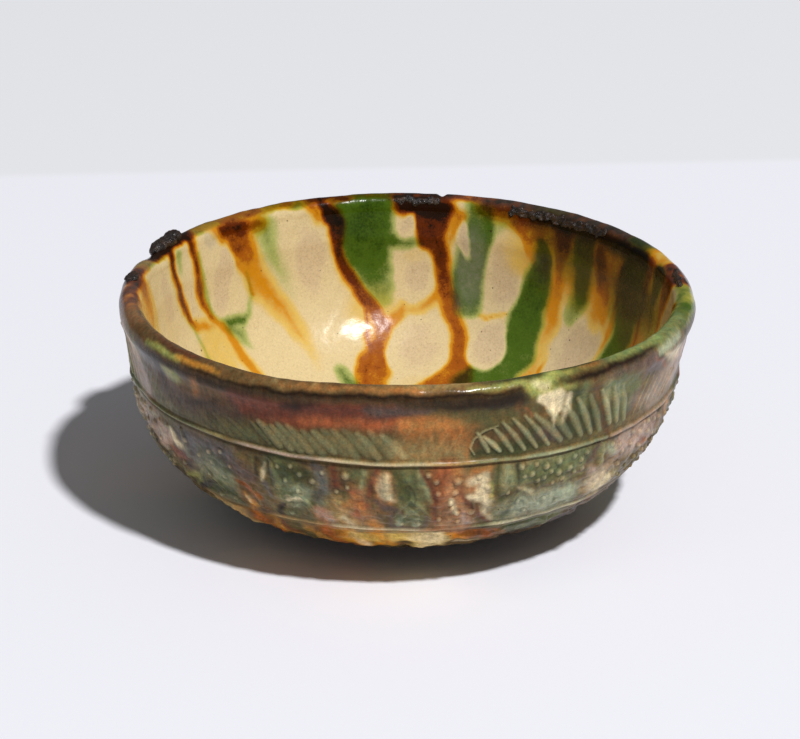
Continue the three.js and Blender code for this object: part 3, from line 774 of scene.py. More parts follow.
BELLY_WASHES = strokes("""
lilac 3: 195 18 2.6 .7, 206 19 2.2 .8;
earth 2.4: 196 22 2 .8, 208 24 2.4 .85, 214 28 2.4 .8;
soot 1.6: 198 21 .8 .7, 205 24.5 .9 .8, 209 28 1 .8;
soot 1.4: 200 27 .9 .8, 207 30 1.1 .9, 213 31.6 .8 .8;
rust 1.3: 211 20.6 .5 .7, 215.6 21.4 .8 .85;
slate 3: 217 18 3 .9, 232 18 2.6 .8;
sage 3: 223 21.6 1.8 .6, 229 22 2 .7;
moss 2.6: 220 26 2.2 .9, 229 26 2 .9;
bottle 1.8: 221 27 1 .8, 226 25 1.2 .85, 230.4 27 .9 .7;
bronze 2.6: 234.6 18 2 .7, 235 22 2.4 .9, 235 27 2.2 1;
moss 3: 244 17 2.6 .9, 247 22 3 1;
sage 2.2: 242 22 1.4 .3, 246 23.6 1.8 .4;
olive 2: 243 27 1.8 .9, 249 27.4 1.6 .9;
sage 2: 252.4 17 1.2 .7, 252.8 22 1.4 .8;
tan 2: 252.2 25 1.3 1, 252.6 29 1.2 1;
bronze 2: 257 16.6 1.8 .9, 257.4 19 1.8 .8;
sand 3: 257.4 23 2.4 1, 258 27.4 2.4 1;
tan 2.2: 260.4 19.6 1.2 .9, 260.6 25 1.6 1, 262.4 28 1.4 1;
bronze 1.8: 264 15.6 1 .9, 263.6 19 1 .9, 265.4 23 1.2 .8;
moss 2.6: 270.4 16.8 2 .9, 271 21 2.2 .9;
sage 2.6: 270.8 25.6 2.4 .8, 271 21.5 1.2 .4;
flame 2.6: 277.6 16 2.2 .9, 278.4 21 2.2 .9;
tan 2.6: 280 17 1.2 .8, 280 24 2.6 1, 280.4 28 3.2 1;
sage 3: 290 17.4 1.6 .9, 300 17.4 2.6 .9, 309 17.4 2 .7;
sage 3: 290.6 24 1.6 .8, 292 27 1.8 .8;
mist 3: 295 24.6 2.6 .95, 307 25 3 1;
chalk 2.6: 314.6 23.2 2 .9, 319 25 2.8 1;
lilac 3: 320 17.6 2.2 .7, 334 19 3 .9;
soot 1.4: 201 18.6 .6 .6, 206.5 17.4 .7 .7;
mist .9: 203 16.6 .3 .6, 206.6 16.2 .3 .6;
olive 2.4: 206 23 2 .8, 214 27 2.6 .8;
lilac 1.6: 208.5 17.5 .9 .85, 212 18 1.2 .85, 206 22 1 .8;
chalk .8: 207.4 18.4 .3 .7, 208 19.8 .3 .5;
slate 2.2: 218.5 17 1.5 .8, 222 18.4 1.8 .7;
chalk .9: 213.4 16.6 .5 .8, 214.5 18.4 .8 .9, 216.8 19.2 .45 .85;
maroon 1.2: 211.5 21 .6 .8, 215.5 20.8 .7 .95, 218.5 21 .5 .8;
soot 1.4: 214 22.8 .8 .7, 217.5 22.6 .9 .85;
slate 2.2: 222 16.2 1 .7, 232 16.4 1.2 .6;
moss 2.2: 224 19 1.8 .6, 229 20 1.8 .65, 228 23 1.4 .7;
mist 1.8: 225.6 20.4 .8 .35, 231 21.5 .9 .4;
olive 1.4: 233.6 16 .5 .8, 238 16 .6 .8;
plum 1.6: 232 18.6 1.1 .85, 236.5 19.6 1.4 .85;
soot .7: 238.3 15.8 .2 .85, 238.4 18.8 .25 .85;
bottle 1.8: 244.5 16.5 1.2 .85, 249 17.6 1.6 .85, 250 20 1 .6;
slate 1: 240 20.6 .6 .8, 240.3 22.6 .5 .6;
soot .9: 241.4 15.8 .4 .85, 242.1 18.6 .5 .85, 241.6 20.6 .2 .6;
chalk .7: 240.2 16.6 .2 .7, 239.9 18.4 .35 .85, 239.4 19.8 .2 .7;
mist 1.8: 244.6 19.8 .7 .5, 249 21 1.2 .6, 246 24 .8 .6;
moss 1.4: 247.6 18.6 .6 .5, 244 21.4 .7 .5;
slate 1.4: 251.8 15.6 1 .8, 253.2 19 1.1 .8, 251.6 22 .9 .6;
olive 1.6: 240.4 26.6 1 .7, 248 26.8 1.4 .8;
moss 1.2: 243.4 26.6 .6 .6, 245.8 26 .8 .6;
soot .9: 243.3 24.4 .3 .85, 241.6 26.5 .6 .9, 241.2 28.6 .5 .85;
bottle 1.4: 222 27 .9 .7, 229.5 25 .9 .75;
soot 1.4: 208 31 .8 .85, 216 28.2 1 .95, 220.4 25.8 .9 .95, 225.4 23.8 .4 .85;
lime 1: 213.6 26.6 .5 .5, 218.4 24.2 .5 .6;
lime .8: 214.6 28.6 .3 .4, 220.4 23.4 .3 .5;
earth 1.8: 233 26.4 1.6 .85, 237 27.5 1.6 .85;
ochre 1.1: 233.4 24.4 .5 .7, 234.4 26.6 .7 .8, 232.8 28 .5 .6;
chalk .8: 233.6 24.8 .3 .5, 233.8 26 .3 .4;
rust .8: 232.2 21.8 .35 .85, 234.8 22.8 .5 .85, 237.4 24.2 .4 .85;
lilac 1.6: 251.4 24.4 .7 .8, 253.4 27 .9 .85;
flame 1.4: 251 24 .4 .4, 253 26 .5 .4;
maroon 1.4: 255 15.2 .6 .85, 255.8 18.4 .9 .9;
olive 1.4: 257 20 .7 .8, 258 22.6 .7 .7;
moss 1.2: 258.6 16 .7 .6, 260.8 15.8 .6 .6;
flame 1.5: 258.8 19.6 .6 .85, 261.2 22 1 .95, 260 25 .8 .8;
amber_wash 1.2: 257.6 22.6 .7 .7, 260.2 20.4 .4 .7, 261.5 24.8 .8 .7;
sand 1.6: 256 25.6 .8 .85, 259.4 28 1.2 .85;
chalk .9: 256.6 25.6 .4 .7, 258.4 28 .5 .6;
ochre 1.4: 262.4 26.8 .7 .85, 264 29 .9 .85;
sage 1: 261.6 15.6 .4 .8, 261 18.2 .4 .7;
maroon .8: 264.4 15 .35 .95, 263.2 17.4 .35 .95, 262.6 19.8 .4 .85;
bottle 1.2: 267.6 15.2 .5 .85, 269 18 .7 .9, 271 21.6 .8 .8;
sage 1: 272.6 15.6 .5 .85, 273.6 18.6 .4 .8, 275 21.6 .3 .8;
soot .6: 270.4 18 .15 .7, 272.4 20.6 .2 .7, 271.6 22.4 .15 .5;
tan 1.6: 265.4 17 1.2 .8, 266 20.4 1.2 .8;
chalk 1: 265.8 16.2 .5 .7, 265.4 18.2 1 .75, 266.4 20 .9 .7, 267.6 20.9 .3 .6;
plum 1: 263.8 20.6 .4 .85, 266.2 22.7 .7 .95, 268.6 23.6 .4 .85;
moss 1.2: 268.4 25.4 .8 .85, 272.8 25.4 .9 .85;
plum .8: 266.8 24 .35 .9, 266.9 27.6 .4 .9, 274.2 27.7 .3 .9, 274.6 24.6 .3 .8;
mist .7: 269 25.4 .35 .85, 268.6 27 .4 .85;
mist .7: 272.4 25.4 .4 .85, 272.2 27 .5 .85;
amber_wash 1.2: 280 15.4 .6 .8, 281.6 18 .4 .6;
maroon .8: 273 15 .3 .9, 274.6 18 .35 .9, 276 21 .35 .9, 276.4 27 .3 .8;
chalk .6: 279 21 .35 .9, 279.8 24 .35 .95;
maroon 1.1: 281.4 18.6 .35 .85, 281.6 20.4 .4 .85, 283.6 22.8 .7 .9, 286 25.4 .7 .9, 288.6 27.8 .5 .8;
lilac 1.2: 281.8 24.4 .5 .7, 283.6 27.4 .8 .8;
amber_wash 1.2: 282.8 15.4 .5 .8, 286.2 15.6 .6 .7;
tan 1.6: 283.6 17.4 1.4 .9, 285 20.6 1.6 .9;
chalk 1.2: 283.4 17.4 .8 .8, 285.6 16.8 .8 .85, 285.8 20 1.1 .9, 287 22 .8 .85, 287.4 25 .35 .85,
    288.8 27 .25 .7;
chalk .8: 283.2 20.6 .5 .95, 285 21.4 .8 .95;
lime .8: 287.4 18 .15 .7, 288 21.4 .2 .7;
bottle .9: 288.6 15.2 .4 .9, 288.8 19 .4 .9, 289.6 22 .4 .8;
moss 1.8: 293 17.5 1.6 .9, 302 17.4 1.9 .9, 309 17 1.4 .8;
bottle 1.2: 297 18.8 .6 .6, 306 19.2 .5 .6;
bottle 1.4: 290 21.4 .5 .6, 293 21.6 .5 .6, 292 27 .8 .6;
sage .9: 291 15.6 .5 .9, 291.6 19 .5 .8;
soot .7: 292.6 15.2 .2 .85, 293.4 18.4 .2 .85, 293.4 21 .2 .6;
plum 1: 313 15.2 .45 .9, 311.6 18 .5 .9, 308 20 .4 .7;
lime .9: 305 20.8 .3 .5, 309 20.3 .3 .6;
chalk .9: 293.4 19.8 .2 .5, 297 21.4 .3 .6;
sage 1: 313.8 16 .5 .9, 314.4 19 .5 .85;
mist 1.4: 315.8 16.6 .6 .8, 318 18 .7 .8;
lilac 1.4: 311.8 20 .6 .7, 314.8 21 .7 .7;
olive 1.2: 318.6 19.8 .5 .7, 321 21.6 .6 .7;
lilac 2: 321 17 1.4 .85, 330 18 1.6 .85;
flame 1.2: 328.6 18.4 .4 .4, 332 20.6 .6 .8, 335 21 .5 .7;
maroon 2: 333 17 1 .5, 341 19 1.4 .6;
chalk .5: 244.2 22.9 .3 .95, 247.6 22.5 .25 .95;
soot .4: 244.4 23.7 .1 .7, 247.6 23.3 .1 .7;
lilac 1.8: 314 23.6 1.4 .4, 320 21.4 1.6 .5
""")
# The nearly black strokes at runs 34 to 38, azimuths 300 to 318, are painted shade on the underside over the
# table; those at run 48 darken the underside all round towards the resting face.
UNDERSIDE_WASHES = strokes("""
earth 4: 196 34 4 .7, 345 34 4 .7;
olive 2: 205 31 1.5 .8, 216 34 2 .7;
sand 2.4: 219 31 1.6 .8, 226 34 2.4 .9, 228 42 2 .6;
sage 1.6: 219 31.6 .8 .5, 222 34 .8 .5;
rust 2: 231.6 30.6 1.4 .8, 235 36 1.6 .9;
ochre 1.6: 237 30.2 .8 .5, 238.4 36 1 .7, 241 46 1.2 .7;
maroon 1: 239.4 31 .5 .8, 241 36 .6 .8;
olive 2: 243.6 31 1.8 .9, 246 38 2.4 .9;
ochre 1.4: 246.4 30.8 .7 .5, 248 37 .9 .6;
rust 1.8: 251 30.6 1.2 .85, 252.6 36 1.4 .85, 254 46 1 .7;
amber 2.2: 256 31 1.6 .8, 258.6 36 2 .8;
chalk 1.4: 257.6 31.4 .7 .6, 260 36 .8 .6;
amber 2: 263.4 30.6 1.4 .85, 265 36 1.4 .85;
honey 2: 258 32 1.2 .7, 262 33 1.2 .7;
honey 2: 267.6 31.6 1.8 1, 273 32 2.2 1, 277 32.4 2.2 1, 275 38 2.4 .9;
chalk 1.8: 272 31.6 1.4 .5, 276.6 32 2 .7, 276 38 2 .6;
amber 1.2: 280.4 30.8 .9 .9, 284 32.6 1 .9;
rust 1.8: 283 31 1.2 .9, 288.6 31.6 1.2 .8, 292 34 1.6 .8;
chalk 1.2: 283.6 34.8 .8 .6, 288 35.6 .8 .6;
earth 1.6: 289.6 31.2 .8 .8, 295.6 33.4 1.4 .9, 292 38 2 .8;
rust 1: 292 31.4 .3 .6, 295 32.8 .4 .6;
bottle 1.8: 294.4 30.4 .9 .85, 302 31.6 1.8 .9;
moss 1.6: 301 31 .9 .7, 309 31 1.1 .8;
moss 1.6: 295 31.6 1 .8, 303 33 1.6 .9, 311 31.6 1 .7;
bottle 1.4: 297 33.4 1 .8, 305 35 1.2 .8;
soot 5: 194 48 5 .7, 270 48 5 .7, 346 48 5 .7;
soot 2.6: 300 38 2.6 .75, 318 34 2.4 .8;
earth .9: 262 29.9 .3 .7, 284 29.9 .4 .85;
soot .9: 284 29.9 .35 .85, 290 29.9 .35 .85;
bottle 1: 290 29.9 .4 .85, 312 29.9 .4 .8
""")
# Colours along the moulded ridge and the double line, put on only where they stand up.
RIDGE_WASHES = strokes("""
sage 3: 196 14 2 1, 228 14 2 1;
sand 3: 230 14 2 .5, 240 14 2 .6;
lilac 3: 236 14 2 1, 254 14 2 1;
chalk 3: 255 14 2 .7, 275 14 2 .6;
sand 2: 277 14 2 .8, 282 14 2 .8;
sage 3: 286 14 2 .9, 304 14 2 .9;
mist 2: 296 14.4 2 .5, 313 14.4 2 .7;
lilac 3: 318 14.4 2 .7, 342 15 2 .8;
sand 2: 240 28.6 1 .9, 250 28.6 1 1;
chalk 2: 255 28.6 1 .9, 262 28.6 1 1;
chalk 2: 265 28.6 1 .9, 274 28.6 1 .9;
tan 2: 274 28.6 1 .9, 285 28.6 1 .9;
sage 1: 286 28.6 1 .7, 290 28.6 1 .7;
mist 2: 292 28.6 1 1, 314 28.6 1 1;
chalk 2: 290 28.6 1 .5, 316 28.6 1 .6
""")
# The lime and ochre lines along runs 1.5 to 1.9, azimuths 208 to 231, are partly a painted highlight on the
# lip's outer face and partly yellow-green glaze.
# The nearly black strokes at runs 1.5 to 3.6 on the front are partly painted shade under the lip's roll and
# partly dark glaze.
LIP_WASHES = strokes("""
bronze 2.5: 188 0 3 1, 240 0 3 1, 283 0 2.8 1;
earth 1.8: 212 0 1.4 .6, 222 0 1.4 .8, 227 0 1 .4;
tan 1.8: 188 .8 1.4 .7, 200 .8 1 .6;
maroon .9: 208 .2 .3 .5, 216 .4 .4 .7, 224 .4 .4 .7;
sand .9: 203 -2.2 .3 .5, 215 -1.8 .3 .4, 229 -1.4 .3 .4;
lime 1: 208 1.9 .3 .5, 213 1.9 .4 .9, 220 1.8 .4 .8;
ochre .9: 219 1.6 .4 .7, 226 1.7 .4 .8, 231 1.6 .3 .5;
earth 1.2: 247.4 -1.6 .6 .8, 248 .8 .5 .7;
sand 1: 251.4 -2 .5 .7, 252.2 .8 .4 .6;
earth 1.4: 255.8 -1.6 1 .9, 256.2 .6 .8 .8;
earth 1.2: 260.6 -1.6 .6 .6, 260.4 .4 .6 .6;
sage 1.2: 243.6 -.6 .6 .4, 244 .6 .5 .4;
amber_wash 1.2: 246 1.2 .3 .5, 258 1.1 .3 .6, 266 1.1 .5 .8, 273 1 .5 .8;
sand 1.8: 266 -1 1 .4, 273 -.8 1.5 .7, 281 -.6 1.4 .6;
plum .9: 274.4 -1 .3 .5, 275 .2 .3 .5;
olive 1.8: 284.6 -.6 1.2 .9, 289 -.6 1.8 1;
bottle 2: 290 -.8 1.8 1, 298 -.8 1.8 1, 309 -.6 1.6 1;
lime 1.2: 282 1.3 .3 .6, 288 1.2 .45 .8, 293 1.2 .4 .7;
lime 1.4: 294.2 2.2 1 .95, 297.4 1.7 1.2 1, 300 .4 1 .8;
chalk 1.2: 295.4 1.7 .6 .6, 297.4 2.4 .6 .7;
lime 1: 301 .9 .4 .8, 307 .7 .3 .6;
olive 1: 305 .9 .4 .8, 313 .4 .7 .8;
amber_wash .9: 306.6 .5 .3 .5, 312 .2 .4 .5;
meadow 2.2: 316 -.8 2 1, 330 -.8 2.2 1, 348 -.8 2 1;
moss 1.6: 313 .5 1.2 .6, 326 .4 1.2 .6, 348 .4 1.6 .6;
chalk 1.2: 319 -1.4 .4 .3, 331 -1.2 .5 .3;
moss 1.4: 333 .7 .6 .7, 346 1 .8 .7;
bottle 1: 299.4 2.4 .3 .7, 303 2.1 .4 .8;
soot 1.9: 204 3.6 .5 .6, 214 3.6 .8 .85, 228 3.4 .7 .85, 240 3.1 .7 .85, 252 2.8 .6 .9, 266 2.8 .6 .9,
    280 3.1 .9 .9, 290 3.4 1 .9, 294 3.6 .3 .4;
soot .6: 222 2.7 .2 .7, 240 2.4 .3 1, 262 2.3 .35 1, 280 2.3 .3 1, 291.5 2.5 .2 .9;
soot 2: 188 .8 1 .35, 204 1.2 1.2 .45, 222 1 1 .35, 238 .8 .8 .25;
plum .9: 186 -1.3 .6 .7, 200 -1.2 .6 .9, 214 -1.1 .6 .95, 228 -.9 .5 .85, 243 -.9 .3 .5;
soot .8: 188 -1.9 .4 .6, 204 -1.7 .4 .85, 218 -1.6 .4 .85, 234 -1.5 .3 .6;
lime .9: 208 1.9 .25 .5, 213 1.9 .35 .85, 220 1.8 .35 .75;
ochre .8: 219 1.5 .3 .6, 226 1.6 .35 .7, 231 1.5 .25 .4;
soot 1: 302 2.5 .2 .8, 306 2.2 .6 1, 314 2 .7 1, 326 1.6 .55 1, 329.4 1.5 .1 .7;
plum 1.6: 312 3.4 .6 .8, 327 2.9 .8 .9;
mist 1.4: 329.4 2.6 .6 .9, 338 2.4 .8 .9
""")
# Families of pigment that run down the outside beyond the photographed face.
FAMILIES = (
    ("maroon", "flame", "amber_wash"), ("moss", "mist", "sage"), ("sand", "chalk", "lilac"),
    ("olive", "ochre", "earth"), ("bottle", "moss", "lime"), ("plum", "slate", "lilac"),
)
# Dull film outside: azimuth, run, half sizes, strength.
OUTER_FILM = rows("""
198 8 3 6 .3, 223 18 5 4 .2, 298 24.5 7 3 .15, 333 9 5 5 .25, 338 18 6 5 .2, 30 10 9 6 .3, 75 20 9 7 .25,
120 8 8 5 .3, 150 22 8 6 .2
""")
# Pearls below the ridge that are listed one by one: azimuth, run and radius.
PEARLS = rows("""
246.3 15.9 .45, 248.2 17.2 .5, 250.8 18.1 .55, 257.8 16.4 .75, 258.1 18.6 .42, 255.8 19.6 .42,
225.8 17.4 .5, 226.2 19.3 .5, 218.6 17.2 .45, 222.5 18.9 .5, 229.3 16.6 .45, 231.4 18.9 .45,
276 17.1 .55, 276.4 19.4 .5, 280.3 17.2 .72, 279.9 19.4 .55, 279 21.7 .55, 279.4 23 .5, 280.8 24.2 .5,
283.8 24.1 .62, 274.4 15.8 .5, 277 25.6 .45, 281.2 26.4 .45, 269 26.4 .55, 272.6 26.5 .6, 284.6 16.7 .5,
286.6 18.9 .45, 293.6 15.9 .6, 296.2 17.6 .6, 299.4 16.7 .65, 302.4 16.3 .65, 302.7 18.6 .6,
305.3 18.2 .6, 306.3 16.2 .5, 308.3 17.3 .5, 299.2 18.9 .5, 243.4 16.4 .4, 244.8 18.9 .42, 253 16.3 .42,
247.4 20.6 .45, 224.2 22.3 .5, 229 21.6 .45, 244.4 26.4 .55, 229.2 26.6 .55, 224.4 27.2 .6,
317.3 16.6 .5, 319.8 17.4 .5, 321.6 19.2 .5, 215.4 22.6 .55, 269.6 24.4 .4, 304.6 25.4 .4,
296.4 25.8 .4, 294.5 17.8 .4, 297.8 19.2 .45, 300.8 18 .45, 304 20 .5, 306.9 19.4 .45, 297 16 .45,
309.6 16.2 .5, 301.6 20.4 .4, 309 19.2 .45, 291.2 20.6 .45, 294 23.2 .4, 300.6 23.8 .4
""")


def run_inside(wall, soft, points):
    """One run inside: its core, and the thin glaze that spread from it on both sides."""
    core = [(azimuth, -down, half * 1.2, strength) for azimuth, down, half, strength in points]
    halo = [(azimuth, -down, half + 0.7, 0.09 + 0.2 * strength) for azimuth, down, half, strength in points]
    return np.maximum(wall.line(core, soft * 1.5 + 0.6), wall.line(halo, soft + 2.6))


def inner_glazes(relief):
    """The inside's paint: how much iron, copper, film and bare body show at each place."""
    wall = relief.wall
    iron = gather([run_inside(wall, *stroke) for stroke in INNER_IRON])
    copper = gather([run_inside(wall, *stroke) for stroke in INNER_COPPER])
    for spot in wall.ovals(INNER_CREAM, 1.5):
        iron *= 1 - spot
        copper *= 1 - spot
    for spot in wall.ovals(INNER_HONEY):
        iron = np.maximum(iron, spot)
    bare = wall.blank()
    for spot in wall.ovals(INNER_BARE):
        bare = np.maximum(bare, spot)
    bare *= 1 - np.clip(iron * 3 + copper * 3, 0, 1)
    clear = iron + copper < 0.12
    film = 0.4 * wall.oval(74.5, -13, 2.6, 7, 0, 1.0) + 0.22 * wall.oval(50, -18, 17, 10, 0, 1.2) * clear
    film = np.maximum(film, 0.35 * wall.oval(140.5, -3.2, 1.4, 1.6, 0, 0.8))
    return {"iron": iron, "copper": copper, "film": film, "bare": bare}


def poured_washes(first, last, seed):
    """Washes run down the outside in columns over a stretch of azimuth."""
    rng = random.Random(seed)
    washes = []
    azimuth = first
    while azimuth < last:
        width = rng.uniform(4, 9)
        family = rng.choice(FAMILIES)
        middle = azimuth + width / 2
        for low, high, wide in ((3.6, 12.6, 1.2), (15.4, 27.6, 1.3), (30.5, 44, 1.2)):
            family = rng.choice((family, family, rng.choice(FAMILIES)))
            body = [
                (middle + rng.uniform(-1.5, 1.5), float(run), width * 0.4 * rng.uniform(0.7, wide), 0.85)
                for run in np.linspace(low, high, 4)
            ]
            washes.append((family[0], rng.uniform(1.4, 2.2), body))
            for pigment in family[1:]:
                start = rng.uniform(low, high - 3)
                spot = middle + rng.uniform(-3, 3)
                mark = [
                    (spot, start, rng.uniform(0.3, 1.2), 0.9),
                    (spot + rng.uniform(-2, 2), start + rng.uniform(1, 4), 0.5, 0.8),
                ]
                washes.append((pigment, rng.uniform(0.7, 1.4), mark))
        azimuth += width
    # A nearly black line at run 2.9 round the rest of the lip: partly painted shade under the lip's roll,
    # partly dark glaze.
    dark = [(a, 2.9, rng.uniform(0.2, 0.7), rng.uniform(0.7, 1)) for a in range(int(first), int(last) + 1, 7)]
    return [*washes, ("soot", 0.9, dark)]


def lay(shade, pigment, amount):
    """One pigment laid over the colours there, by how much of it lies at each place."""
    share = np.clip(amount, 0, 1)[:, None]
    return shade * (1 - share) + np.array(getattr(bpy.context.scene.bowl_colours, pigment)) * share


def outer_wash(relief):
    """The colour of the outside at each place: every wash in turn, worn from what stands up."""
    wall = relief.wall
    shade = np.tile(np.array(bpy.context.scene.bowl_colours.olive), (len(wall.run), 1))
    shade = lay(shade, "bronze", 0.5 + 0.5 * ripple(wall.places, 9, 21))
    for washes in (poured_washes(342, 556, 8), BAND_WASHES, BELLY_WASHES, UNDERSIDE_WASHES, LIP_WASHES):
        for pigment, soft, points in washes:
            shade = lay(shade, pigment, wall.line(points, soft * 1.25))
    streak = ripple(wall.places * (1, 1, 0.22), 0.8, 22, 14)
    shade = shade * (1 + 0.13 * streak[:, None])
    # Hollows darken, as glaze pools in them; in the groove under the ridge this is painted shade as well.
    shade = lay(shade, "soot", 0.6 * np.clip(relief.valley, 0, 1))
    crest = relief.crest * (wall.true_run < LINE_RUN)
    shade = lay(shade, "sage", 0.7 * crest)
    shade = lay(shade, "chalk", np.clip(0.22 * crest**2 + 0.28 * relief.tip, 0, 0.8))
    for pigment, soft, points in RIDGE_WASHES:
        shade = lay(shade, pigment, wall.line(points, soft, False) * relief.line)
    return shade


def outer_glazes(relief):
    """The outside's paint: washes only, with dull film here and there."""
    film = relief.wall.blank()
    for azimuth, run, across, down, strength in OUTER_FILM:
        film = np.maximum(film, strength * relief.wall.oval(azimuth, run, across, down, 0, 1.2))
    return {"wash": outer_wash(relief), "film": film, "cover": np.ones(len(film))}


def lip_glazes(relief):
    """The lip's paint: washes on the photographed side and outside, and its own dabs elsewhere."""
    wall = relief.wall
    inner = inner_glazes(relief)
    weight = np.full(len(wall.run), 0.02)
    amounts = {"iron": weight * 0.6, "copper": weight * 0.2, "film": weight * 0.1}
    for azimuth, run, across, down, *dab, soft in LIP_DABS:
        share = wall.oval(azimuth, run, across * 0.82, down * 1.5, 0, soft * 1.6)
        weight += share
        for amount, strength in zip(amounts.values(), dab):
            amount += share * strength
    blotch = ripple(wall.places, 2.4, 31)
    inward = ease((-wall.run - 0.7) / 1.6)
    for name, uneven in (("iron", 1 + 0.22 * blotch), ("copper", 1 - 0.2 * blotch), ("film", 1)):
        amounts[name] = amounts[name] / weight * uneven * (1 - inward) + inner[name] * inward
    front = ease((turned(wall.azimuth, 186)) / 10) * ease(turned(350, wall.azimuth) / 8)
    cover = np.maximum(ease((wall.run - 2.2) / 0.8), front * ease((wall.run + 2.8) / 1.0))
    amounts["film"] *= 1 - cover
    return amounts | {
        "bare": inner["bare"] * inward,
        "wash": outer_wash(relief),
        "cover": cover,
        "dullness": LIP_DULLNESS + (OUTER_DULLNESS - LIP_DULLNESS) * ease((wall.run - 1.6) / 2.4),
    }


# Run of the double line that closes the belly.
LINE_RUN = 28.6
# How rough the glaze is on the lip and on the weathered outside.
LIP_DULLNESS, OUTER_DULLNESS = 0.15, 0.28


